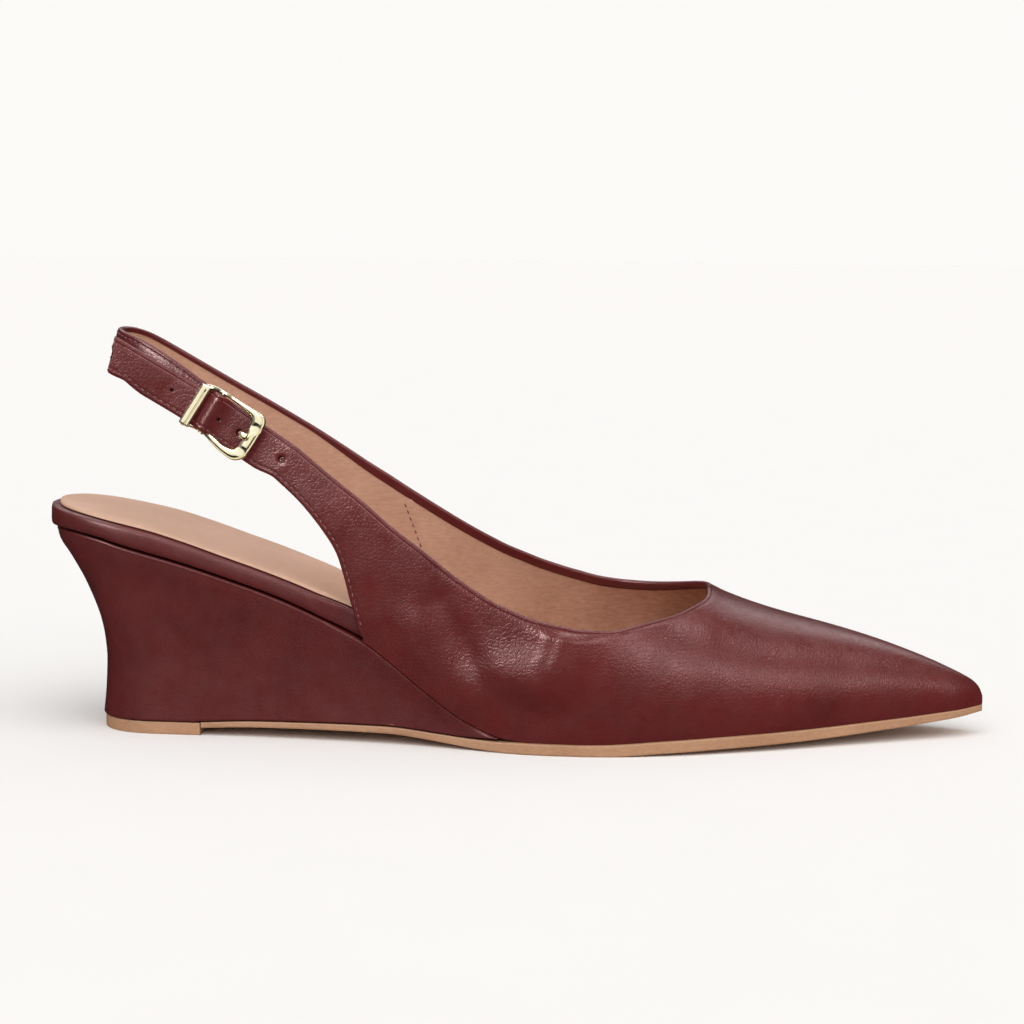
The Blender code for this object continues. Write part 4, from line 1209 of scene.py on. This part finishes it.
loops_out = wing_loops(wing_out_face, wing_out, normal_out, (line_out, edge_n_out, into_out),
                       (low_n_out, low_into_out, feather_out), np.full(len(wing_out), BAND))
loops_in = wing_loops(wing_in_face, wing_in, normal_in, (line_in, edge_n_in, into_in),
                      (low_n_in, low_into_in, feather_in),
                      FAR_BAND + (NEAR_BAND - FAR_BAND) * ease(line_in[:, 0], *FAR_BAND_END))

# Strap's tail: its end is cut a little hollow and its lower corner flares
tail_axis = unit(wing_out[0, -1] - wing_out[0, 0])
tail_base = wing_out[0, 0] - tail_axis * ROLL
bite = Curve([r[0] for r in TAIL_BITE], [r[1] for r in TAIL_BITE])
for i in range(TAIL_COUNT):
    fade = 1.0 - float(ease(i, 0.0, TAIL_COUNT / 2.0))
    height = np.clip(((loops_out[i] - tail_base) @ tail_axis) / STRAP, 0.0, 1.0)
    loops_out[i] += along * (bite(height) * fade)[:, None]
    loops_out[i] -= tail_axis * (TAIL_DROP * fade * ease(height, 0.5, 0.0))[:, None]


def end_caps(loops, axis):
    """Rings that round off a strap's end."""
    first = loops[0]
    middle = first.mean(axis=0)
    away = unit(middle - loops[1].mean(axis=0))
    thick = unit(np.cross(axis, away))
    out = []
    for angle in CAP_ANGLES:
        lost = ((first - middle) @ thick) * CAP_LOSS * (1.0 - math.sin(angle + 0.17))
        out.append(first - thick * lost[:, None] + away * (CAP_BULGE * ROLL * math.cos(angle)))
    return np.array(out)


leather = Shell()
leather.tube(np.concatenate([end_caps(loops_out, tail_axis), loops_out]), closed=(0,))

# Strap end folded round the hinge bar
fold_mid = smooth_path([(a * HINGE_BAR, c * HINGE_BAR, h * HINGE_BAR) for a, c, h in FOLD], FOLD_COUNT)
fold_step = unit(np.gradient(fold_mid[:, :2], axis=0))
face_share = (wing_in[0] - wing_in[0, 0]) @ unit(wing_in[0, -1] - wing_in[0, 0])
face_share = face_share / face_share[-1]
fold_loops = []
for (a, c, h), (da, dc) in zip(fold_mid, fold_step):
    back = float(ease(a, 0.0, fold_mid[-1, 0]))
    lift = FOLD_RISE + (HEEL_RISE[-1] - FOLD_RISE) * back
    b_low = -STRAP / 2.0 + h + lift * back
    b_top = STRAP / 2.0 - h + lift

    def corner(base, sign, angle):
        k = h * math.cos(angle)
        return place(a - dc * k, base + sign * h * math.sin(angle), c + da * k)

    ring = [place(a - dc * h, b_low + (b_top - b_low) * s, c + da * h) for s in face_share]
    ring += [corner(b_top, 1.0, angle) for angle in ROLL_STEPS[1:]]
    back_count = loops_in.shape[1] - len(ring) - (len(ROLL_STEPS) - 1)
    ring += [place(a + dc * h, b_low + (b_top - b_low) * s, c - da * h)
             for s in np.linspace(0.98, 0.02, back_count)]
    ring += [corner(b_low, -1.0, angle) for angle in ROLL_STEPS[::-1][:-1]]
    fold_loops.append(ring)
leather.tube(np.concatenate([np.array(fold_loops)[::-1], loops_in]), closed=(0,))


def arch_inside(depth):
    """The vamp's surface moved inwards by depth, joined to the wings at the throat."""
    inside_x = THROAT + ROLL + (stations - THROAT - ROLL) * (1.0 - depth * 1.6 / (TOE - THROAT))
    halves = (half_arches(inside_x, -1, depth), half_arches(inside_x, 1, depth)[:, ::-1][:, 1:])
    by_normal = crown_joined - normal_arch * depth
    mix = ease(np.arange(len(stations)), 0.0, JOIN_RIBS)[:, None, None]
    return by_normal * (1.0 - mix) + np.concatenate(halves, axis=1) * mix


# Vamp from the throat to the toe
half_last = wing_out.shape[1] - 1
pick_arch = np.concatenate([HIDDEN_PICK, (2 * half_last - HIDDEN_PICK)[::-1][1:]])
hidden_arch = arch_inside(HIDDEN)[:, pick_arch]
into_low = unit(crown_joined[:, 3] - crown_joined[:, 0])
into_high = unit(crown_joined[:, -4] - crown_joined[:, -1])
low_radius = THIN_ROLL * closing((TOE - stations) / (10.0 * THIN_ROLL), 2.0)
roll_low = rolled(crown_face[:, 0], normal_arch[:, 0], into_low, low_radius)
roll_high = rolled(crown_face[:, -1], normal_arch[:, -1], into_high, low_radius)
band_low = (roll_low[:, -1] + into_low * (0.6 * ROLL))[:, None]
band_high = (roll_high[:, -1] + into_high * (0.6 * ROLL))[:, None]
leather.tube(np.concatenate([crown_face, roll_high[:, 1:], band_high, hidden_arch[:, ::-1], band_low,
                             roll_low[:, ::-1][:, :-1]], axis=1), closed=(-1,))


def punch(bm, centre, radius):
    """A round blind hole in the leather, with its rim pulled to a circle."""
    centre = Vector(centre)
    axis = Vector(outward)

    def parts(point):
        up = (point - centre).dot(axis)
        return point - centre - axis * up, up

    def close(point, room):
        flat, up = parts(point)
        return flat.length < room and abs(up) < 2.0 * WALL

    near = [f for f in bm.faces if close(f.calc_center_median(), radius) and f.normal.dot(axis) > 0.5]
    bmesh.ops.delete(bm, geom=near, context="FACES")
    loop = [e for e in bm.edges if e.is_boundary and close(e.verts[0].co, PUNCH_ROOM * radius)]
    rim = {v for edge in loop for v in edge.verts}
    centre = centre + axis * (sum(parts(v.co)[1] for v in rim) / max(len(rim), 1))
    for vert in rim:
        flat, up = parts(vert.co)
        vert.co = centre + axis * up + flat.normalized() * radius
    for depth, size in PUNCH_STEPS:
        made = bmesh.ops.extrude_edge_only(bm, edges=loop)["geom"]
        verts = [g for g in made if isinstance(g, bmesh.types.BMVert)]
        loop = [g for g in made if isinstance(g, bmesh.types.BMEdge)
                and g.verts[0] in verts and g.verts[1] in verts]
        for vert in verts:
            vert.co = centre + parts(vert.co)[0].normalized() * (radius * size) - axis * (depth * WALL)
    bmesh.ops.contextual_create(bm, geom=loop)


def holes_in(bm):
    for centre, (share, r), closed in zip(hole_centres, PUNCHED, HOLE_CLOSED):
        punch(bm, centre, HOLE * r * HOLE_WEAR * closed)


upper_leather = piece("upper_leather", leather, leather_look, holes_in)
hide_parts("upper")

# Lining: a thin closed sheet behind the turned band
lining = Shell()


def lining_wing(base, normal, folds=()):
    """Closed loops of lining for each rib, from above the lower edge to behind the band."""
    face = base - normal * (LINING_FACE + fold_field(base, folds)[..., None])
    back = base - normal * LINING_BACK
    picks = np.append(np.arange(3, base.shape[1] - 3, 2), base.shape[1] - 1)
    rows = len(face)
    keep_top = ease(np.arange(rows), rows - LINED_RIBS, rows - 1.0)[:, None]
    sheets = []
    for sheet in (face, back):
        top = sheet[:, -4] * (1.0 - keep_top) + sheet[:, -1] * keep_top
        sheet = sheet[:, picks]
        sheet[:, -1] = top
        sheets.append(sheet)
    return np.concatenate([sheets[0], sheets[1][:, ::-1]], axis=1)


lining.tube(lining_wing(wing_out[4:], normal_out[4:]), closed=(0,))
lining.tube(lining_wing(wing_in, normal_in, LINING_FOLDS), closed=(0,))
pick_half = np.append(np.arange(3, half_last - 2, 2), half_last)
pick_lined = np.concatenate([pick_half, (2 * half_last - pick_half)[::-1][1:]])
lined_face, lined_back = (arch_inside(depth)[stations < LINING_FRONT][:, pick_lined]
                          for depth in (LINING_FACE, LINING_BACK))
lining.tube(np.concatenate([lined_face, lined_back[:, ::-1]], axis=1), closed=(-1,))
upper_lining = piece("upper_lining", lining, lining_look)


# Stitches along the strap, the free lower edges and the inner top line
def seam_points(ribs, column_at, side, first, last):
    """Even points with the surface's normal along one end of the ribs."""
    grid = np.array(ribs)[first:last]
    line = grid[:, column_at]
    run = runs_of(line)
    count = int(run[-1] / STITCH_PITCH)
    s = (np.arange(count) + 0.5) * run[-1] / count
    points = picked(line, run, s)
    facing = unit(picked(side * normals(grid)[:, column_at], run, s))
    return points, facing, unit(np.gradient(points, axis=0))


def circle(middle, b, n, size):
    """Points round a thread, in the plane of b and n."""
    return [middle + b * (size * math.cos(a)) + n * (size * math.sin(a))
            for a in np.linspace(0.0, 2.0 * math.pi, THREAD_SIDES, endpoint=False)]


def add_stitches(shell, points, facing, ahead):
    """Short rounded threads that dip into the leather at both ends."""
    for p, n, t in zip(points, facing, ahead):
        b = unit(np.cross(n, t))
        rings = []
        for s in STITCH_RINGS:
            sunk = THREAD * (0.75 - 1.1 * s * s) - GROOVE_DEPTH
            middle = p + t * (s * STITCH_LENGTH / 2.0) + n * sunk
            rings.append(circle(middle, b, n, THREAD * math.sqrt(max(1.0 - s ** 6, 0.02))))
        shell.tube(np.array(rings))


def lining_seam():
    """Even points on the lining's face along the seam inside the inner quarter."""
    face = (wing_in - normal_in * (LINING_FACE + GROOVE_DEPTH)).reshape(-1, 3)
    facing = -normal_in.reshape(-1, 3)
    start, end = (np.array([at(x), z * HEEL]) for x, z in LINING_SEAM)
    count = int(np.linalg.norm(end - start) / STITCH_PITCH)
    points = []
    away = []
    for share in (np.arange(count) + 0.5) / count:
        spot = start + (end - start) * share
        near = np.exp(-((face[:, 0] - spot[0]) ** 2 + (face[:, 2] - spot[1]) ** 2) / SEAM_BLUR ** 2)
        near = near / near.sum()
        points.append([spot[0], near @ face[:, 1], spot[1]])
        away.append(near @ facing)
    points = np.array(points)
    return points, unit(away), unit(np.gradient(points, axis=0))


def add_line(shell, points, facing, ahead):
    """A fine raised line along the points, thinning out at its front end."""
    rings = []
    for k, (p, n, t) in enumerate(zip(points, facing, ahead)):
        size = EDGE_LINE * float(ease(len(points) - 1 - k, -1.0, 12.0))
        rings.append(circle(p - n * (GROOVE_DEPTH + 0.35 * size), unit(np.cross(n, t)), n, size))
    shell.tube(np.array(rings))


sewn = Shell()
add_stitches(sewn, *lining_seam())
sew_out = outer_wing(STITCH_INSET)
sew_in = inner_wing(STITCH_INSET)
free_out = int(np.sum(~feather_out)) - SEW_STOP
free_in = int(np.sum(~feather_in)) - SEW_STOP
line_end = int(np.sum(line_out[:, 0] < EDGE_LINE_FRONT))
last_in = int(np.sum(line_in[LOOP_COUNT:, 0] < SEW_FRONT)) + LOOP_COUNT
for points in (seam_points(sew_out, 0, 1.0, 4, free_out), seam_points(sew_in, -1, -1.0, 0, last_in),
               seam_points(sew_in, 0, -1.0, 0, free_in)):
    add_stitches(sewn, *points)
# Raised line below the near top line; its light pink colour is a painted highlight along the turned edge
edge_line = Shell()
add_line(edge_line, *seam_points(sew_out, -1, 1.0, 4, line_end))
topline_highlight_line = piece("topline_highlight_line", edge_line, highlight_line_look)
stitching = piece("upper_stitching", sewn, thread_sheen_look)


# Sole, wedge, covered insole and sock
def stacked(name, levels, mat):
    """Closed body from outlines one above the other; each row is (x, outer y, inner y, z)."""
    n = len(levels[0])
    shell = Shell()
    rings = [np.concatenate([level[:, [0, 1, 3]], level[:, [0, 2, 3]][::-1]]) for level in levels]
    shell.grid(rings, wrap=True)
    for low in (0, (len(levels) - 1) * 2 * n):
        high = low + 2 * n - 1
        shell.faces += [[low + i, low + i + 1, high - 1 - i, high - i] for i in range(n - 1)]
    return piece(name, shell, mat, sharp=SHARP_SOLE)


def crowded(start, end, count, back_power, front_power):
    """Stations from start to end, close together near both ends."""
    t = np.linspace(0.0, 1.0, count) ** back_power
    return start + (end - start) * (1.0 - (1.0 - t) ** front_power)


def rounded_levels(round_low, round_top, plain):
    """Shares of the height, insets and lifts for a side with rounded lower and upper corners."""
    angles = np.linspace(0.0, math.pi / 2.0, 6)
    low = [(0.0, round_low * (1.0 - math.sin(a)), round_low * (1.0 - math.cos(a))) for a in angles]
    middle = [(s, 0.0, 0.0) for s in np.linspace(0.0, 1.0, plain + 2)[1:-1]]
    top = [(1.0, round_top * (1.0 - math.sin(a)), -round_top * (1.0 - math.cos(a))) for a in angles[::-1]]
    return low + middle + top


xs = crowded(TIP_FRONT + GAP, TOE - 0.7 * GAP, LONG_COUNT, 1.0, 1.5)
join = ease(xs, SOLE_START, SEAM_JOIN)
low_last, high_last = edges(xs, -SOLE_EDGE)
low_side = -outer_foot(xs) * (1.0 - join) + low_last * join
high_side = inner_foot(xs) * (1.0 - join) + high_last * join
levels = []
for share, inset, lift in rounded_levels(1.1 * SOLE_EDGE, 0.7 * SOLE_EDGE, 3):
    pull = inset * np.minimum(1.0, (high_side - low_side) / (1.5 * NARROW))
    lift = lift * np.minimum(1.0, sole_thick(xs) / (4.0 * SOLE_EDGE))
    z = ground_line(xs) + sole_thick(xs) * share + lift
    levels.append(np.stack([xs, low_side + pull, high_side - pull, z], axis=1))
outsole = stacked("outsole_leather", levels, sole_look)
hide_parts("outsole")

xs = crowded(TIP_BACK + 0.3 * GAP, TIP_FRONT, TIP_COUNT, 2.2, 1.0)
shape = closing((xs - TIP_BACK) / WEDGE_ROUND_LOW, 2.6)
levels = []
for share, inset, lift in rounded_levels(0.8 * SOLE_EDGE, 0.3 * SOLE_EDGE, 2):
    pull = inset * shape
    levels.append(np.stack([xs, -outer_foot(xs) * shape + pull, inner_foot(xs) * shape - pull,
                            np.full(len(xs), TIP_THICK * share + lift)], axis=1))
top_piece = stacked("heel_top_piece", levels, sole_look)
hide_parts("top_piece")


def wedge_foot(x):
    """Underside of the wedge: level over the top piece, then on the outsole."""
    return np.maximum(TIP_THICK + GAP, np.where(x > TIP_FRONT - 3.0 * GAP, sole_top(x) + GAP * 1.2, 0.0))


run = np.linspace(COVER_END, WEDGE_FRONT, 80)
wedge_front = run[seam_line(run) - sole_top(run) > 3.0 * GAP][-1]
levels = []
for share, inset, lift in rounded_levels(0.5 * WEDGE_EDGE, WEDGE_EDGE, 46):
    grow = float(layer_spread(share))
    back = TIP_BACK + (WEDGE_TOP_BACK - TIP_BACK) * grow
    xs = crowded(back + 0.3 * GAP, wedge_front, WEDGE_COUNT, 1.9, 1.0)
    reach = WEDGE_ROUND_LOW + (WEDGE_ROUND_TOP - WEDGE_ROUND_LOW) * grow
    shape = closing((xs - back) / reach, 2.6 - 0.2 * grow)
    low = -(outer_foot(xs) + (outer_side(xs) - WEDGE_INSET - outer_foot(xs)) * grow) * shape
    high = (inner_foot(xs) + (inner_side(xs) - WEDGE_INSET - inner_foot(xs)) * grow) * shape
    foot = wedge_foot(xs)
    height = seam(xs) - GAP * 0.6 - foot
    small = np.minimum(1.0, height / (4.0 * WEDGE_EDGE))
    pull = inset * shape * small
    levels.append(np.stack([xs + inset * (1.0 - shape) * small, low + pull, high - pull,
                            foot + height * share + lift * small], axis=1))
wedge = stacked("wedge_cover", levels, wrap_look)
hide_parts("wedge")


def insole_edges(x, inset):
    low, high = edges(x, inset)
    cover = (WALL + COVER_ROOM) * ease(x, COVER_START, COVER_END)
    front = closing((INSOLE_FRONT - x) / INSOLE_ROUND, TOE_POWER)
    mid = (low + high) / 2.0
    half = ((high - low) / 2.0 - cover) * front
    return mid - half, mid + half


rand_profile = Curve([r[0] for r in RAND_PROFILE], [r[1] for r in RAND_PROFILE])
xs = crowded(HEEL_END + 0.3 * GAP, INSOLE_FRONT - 0.3 * GAP, LONG_COUNT, 1.8, 1.25)
top = insole_line(xs) - SOCK_THICK - GAP
base = seam(xs) + GAP * 1.3
thin = ease(xs, COVER_START, COVER_END)
levels = []
for share in (1.0 - np.cos(np.linspace(0.0, math.pi, 28))) / 2.0:
    low, high = insole_edges(xs, RIM * float(rand_profile(share)) * (1.0 - 0.7 * thin))
    levels.append(np.stack([xs, low, high, base + (top - base) * share], axis=1))
rand = stacked("insole_cover", levels, wrap_look)
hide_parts("insole_board")

sock_start = HEEL_END + 1.1 * SOCK_INSET
sock_end = INSOLE_FRONT - SOCK_INSET
xs = crowded(sock_start + 0.1 * SOCK_INSET, sock_end - 0.1 * SOCK_INSET, LONG_COUNT, 1.8, 1.25)
close = (closing((xs - sock_start) / HEEL_ROUND, HEEL_POWER)
         / closing((xs - HEEL_END) / HEEL_ROUND, HEEL_POWER))
front = (closing((sock_end - xs) / INSOLE_ROUND, TOE_POWER)
         / closing((INSOLE_FRONT - xs) / INSOLE_ROUND, TOE_POWER))
low, high = insole_edges(xs, SOCK_INSET)
mid = (low + high) / 2.0
half = (high - low) / 2.0 * np.minimum(close, 1.0) * np.minimum(front, 1.0)
cross = np.sin(np.linspace(-math.pi / 2.0, math.pi / 2.0, 61))
top_z = insole_line(xs)
side_y = mid[:, None] + half[:, None] * cross[None, :]
away = half[:, None] * (1.0 - np.abs(cross))[None, :]
lip = SOCK_THICK * 0.7 * np.exp(-(away / (0.7 * SOCK_THICK)) ** 1.2)
pad_shape = ((xs[:, None] - PAD_MIDDLE) / PAD_LENGTH) ** 2 + ((side_y - mid[:, None]) / PAD_WIDTH) ** 2
swell = PAD_RISE * (1.0 - ease(np.sqrt(pad_shape), 0.86, 1.12))
all_x = np.broadcast_to(xs[:, None], side_y.shape)
sock_top = np.stack([all_x, side_y, top_z[:, None] - lip + swell], axis=2)
under = sock_top[:, ::-1][:, ::6].copy()
under[:, :, 2] = (top_z - SOCK_THICK)[:, None]
padding = Shell()
padding.tube(np.concatenate([sock_top, under], axis=1))
sock = piece("sock_pad", padding, sock_look)
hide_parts("sock")


# Buckle
def rod(shell, points, widths, depths, side, up, sides=ROD_SIDES):
    """Rings of an oval rod along points, squared to the side and up directions."""
    turn = np.linspace(0.0, 2.0 * math.pi, sides, endpoint=False)
    rings = []
    for p, w, d, s, u in zip(points, widths, depths, np.broadcast_to(side, points.shape),
                             np.broadcast_to(up, points.shape)):
        rings.append(p + np.outer(np.cos(turn) * w, s) + np.outer(np.sin(turn) * d, u))
    shell.tube(np.array(rings))


def bow(a):
    return FRAME_LIFT - FRAME_DIP * np.exp(-(a / FRAME_REACH) ** 2)


def frame_band(shell):
    """The ring: a flat bevelled band between its outer and inner edge, low where it meets the hinge."""
    rows = np.array(BAND_EDGES)
    closed = np.vstack([rows[-1], rows, rows[0], rows[1]])
    steps = 14
    fine = smooth_path(closed, (len(closed) - 1) * steps + 1)[steps:steps + len(rows) * steps]
    rings = []
    for ao, bo, ai, bi, sunk in fine:
        outer = np.array([ao * FRAME_FRONT, bo * FRAME_HALF])
        inner = np.array([ai * FRAME_FRONT, bi * FRAME_HALF])
        wide = float(ease(np.linalg.norm(outer - inner), 2.21 * FRAME_DEPTH, 3.4 * FRAME_DEPTH))
        base = bow((outer[0] + inner[0]) / 2.0) - sunk * FRAME_DEPTH
        ring = []
        for u, h, groove in BAND_PROFILE:
            spot = outer + (inner - outer) * u
            level = h - groove * wide
            for scoop_a, scoop_b, scoop_r in SCOOPS if h > 0.3 else ():
                gone = math.hypot(spot[0] - scoop_a * FRAME_FRONT, spot[1] - scoop_b * FRAME_HALF)
                level -= SCOOP_DEPTH * math.exp(-(gone / (scoop_r * FRAME_HALF)) ** 4)
            ring.append(place(spot[0], spot[1], base + level * FRAME_DEPTH))
        rings.append(ring)
    shell.grid(rings + rings[:1], wrap=True)


def keeper_bar(shell):
    """The stepped plate that holds the strap's tail."""
    middle = KEEPER_MIDDLE * FRAME_FRONT
    rings = []
    for s in np.sin(np.linspace(-math.pi / 2.0, math.pi / 2.0, 41)):
        end = math.sqrt(max(1.0 - abs(s) ** 24, 0.0))
        rings.append([place(middle + pa * (0.8 + 0.2 * end), KEEPER_REACH * FRAME_HALF * s,
                            bow(middle) + (pc if pc < 0.0 else pc * (0.35 + 0.65 * end)))
                      for pa, pc in np.array(KEEPER_PROFILE) * FRAME_DEPTH])
    shell.tube(np.array(rings))


buckle = Shell()
frame_band(buckle)
keeper_bar(buckle)
bar = np.array([place(0.0, s * FRAME_HALF, 0.0) for s in np.linspace(*BAR_ENDS, 24)])
bar_size = np.full(len(bar), HINGE_BAR)
rod(buckle, bar, bar_size, bar_size, along, outward)
pin = np.array([place(0.0, BAR_ENDS[1] * FRAME_HALF, s * HINGE_BAR) for s in np.linspace(0.2, 2.6, 9)])
pin_round = 1.0 - np.linspace(0.0, 1.0, len(pin)) ** 6
pin_size = HINGE_BAR * PIN_THICK * np.sqrt(np.maximum(pin_round, 0.02))
rod(buckle, pin, pin_size, pin_size, along, across, 16)
buckle_frame = piece("buckle_ring", buckle, gold_look, sharp=SHARP_GOLD)
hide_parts("buckle_frame")

prong_fine = smooth_path([(a * FRAME_FRONT, c * FRAME_FRONT) for a, c in PRONG_PATH], PRONG_COUNT)
points = np.array([place(a, 0.0, c) for a, c in prong_fine])
runs = unit(np.gradient(points, axis=0))
tip = np.linspace(0.0, 1.0, PRONG_COUNT)
taper = PRONG * (1.1 + 0.9 * ease(tip, 0.55, 0.85)) * np.sqrt(np.maximum(1.0 - tip ** 30, 0.05))
tongue = Shell()
rod(tongue, points, taper, taper * (1.0 - 0.25 * tip), across, np.cross(across, runs))
buckle_prong = piece("buckle_tongue", tongue, gold_look)
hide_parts("buckle_prong")

# Floor
floor_mesh = bpy.data.meshes.new("floor")
corners = [(-FLOOR, -FLOOR, 0.0), (FLOOR, -FLOOR, 0.0), (FLOOR, FLOOR, 0.0), (-FLOOR, FLOOR, 0.0)]
floor_mesh.from_pydata(corners, [], [(0, 1, 2, 3)])
floor = bpy.data.objects.new("floor", floor_mesh)
bpy.context.scene.collection.objects.link(floor)
floor_mesh.materials.append(floor_look)
floor.visible_glossy = False
floor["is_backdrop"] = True


# Lights
def lamp_of(name, kind, power):
    data = bpy.data.lights.new(name, kind)
    data.energy = power
    lamp = bpy.data.objects.new(name, data)
    bpy.context.scene.collection.objects.link(lamp)
    return lamp, data


def facing(direction):
    return Vector(direction).to_track_quat("-Z", "Y").to_euler()


def receivers(name, pieces):
    """The pieces that a light is meant for alone."""
    group = bpy.data.collections.new(name)
    for made in pieces:
        group.objects.link(made)
    return group


unplated = (upper_leather, upper_lining, stitching, topline_highlight_line, outsole, top_piece, wedge, rand, sock)
leather_pieces = receivers("leather_pieces", unplated)
gold_pieces = receivers("gold_pieces", (buckle_frame, buckle_prong))
for name, (place_at, aim, size_x, size_y, power) in LAMPS.items():
    lamp, data = lamp_of(name, "AREA", power)
    data.shape = "RECTANGLE"
    data.size = size_x
    data.size_y = size_y
    lamp.location = place_at
    lamp.rotation_euler = facing(Vector(aim) - Vector(place_at))
    lamp.visible_diffuse = False
    if name in LEATHER_LAMPS:
        lamp.light_linking.receiver_collection = leather_pieces

lamp, data = lamp_of("day", "SUN", DAY["strength"])
data.angle = math.radians(DAY["width"])
lamp.rotation_euler = (math.radians(DAY["turn"][0]), math.radians(DAY["turn"][1]), 0.0)
lamp.visible_glossy = False
for number, (toward, width, strength) in enumerate(GOLD_LIGHTS):
    lamp, data = lamp_of("gold_light_%d" % number, "SUN", strength)
    data.angle = math.radians(width)
    lamp.rotation_euler = facing(-Vector(toward))
    lamp.light_linking.receiver_collection = gold_pieces

world = bpy.data.worlds.new("studio")
bpy.context.scene.world = world
world.use_nodes = True
nodes = world.node_tree.nodes
links = world.node_tree.links
nodes.clear()
direction = nodes.new("ShaderNodeTexCoord")
parts = nodes.new("ShaderNodeSeparateXYZ")
height = nodes.new("ShaderNodeMapRange")
height.inputs["From Min"].default_value = -1.0
links.new(direction.outputs["Generated"], parts.inputs[0])
links.new(parts.outputs["Z"], height.inputs["Value"])


def sky_light(steps):
    """A background that grows brighter from the horizon up."""
    ramp = nodes.new("ShaderNodeValToRGB")
    ramp.color_ramp.elements[0].position = steps[0][0]
    ramp.color_ramp.elements[1].position = steps[-1][0]
    for position, bright in steps[1:-1]:
        ramp.color_ramp.elements.new(position)
    for element, (position, bright) in zip(ramp.color_ramp.elements, steps):
        element.color = (bright, bright * 0.985, bright * 0.97, 1.0)
    made = nodes.new("ShaderNodeBackground")
    links.new(height.outputs["Result"], ramp.inputs["Fac"])
    links.new(ramp.outputs["Color"], made.inputs["Color"])
    return made.outputs["Background"]


def either(choice, plain, chosen):
    mixer = nodes.new("ShaderNodeMixShader")
    for source, target in zip((choice, plain, chosen), mixer.inputs):
        links.new(source, target)
    return mixer.outputs["Shader"]


kind = nodes.new("ShaderNodeLightPath")
seen = nodes.new("ShaderNodeBackground")
seen.inputs["Color"].default_value = BACKDROP
around = either(kind.outputs["Is Glossy Ray"], sky_light(SKY), sky_light(GLOSS_SKY))
whole = either(kind.outputs["Is Camera Ray"], around, seen.outputs["Background"])
out = nodes.new("ShaderNodeOutputWorld")
links.new(whole, out.inputs["Surface"])

# Camera at the photograph's viewing angle
camera_data = bpy.data.cameras.new("camera")
camera_data.sensor_width = SENSOR
camera_data.lens = CAMERA_FOCUS / PHOTO_SIDE * SENSOR
camera_data.clip_start = 0.01
camera = bpy.data.objects.new("camera", camera_data)
bpy.context.scene.collection.objects.link(camera)
camera.matrix_world = (Matrix.Translation(CAMERA_AT) @ Matrix.Rotation(math.radians(CAMERA_YAW), 4, "Z")
                       @ Matrix.Rotation(math.radians(90.0 - CAMERA_PITCH), 4, "X")
                       @ Matrix.Rotation(math.radians(CAMERA_ROLL), 4, "Z"))
bpy.context.scene.camera = camera
bpy.context.scene.view_settings.view_transform = "Standard"

low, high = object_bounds()
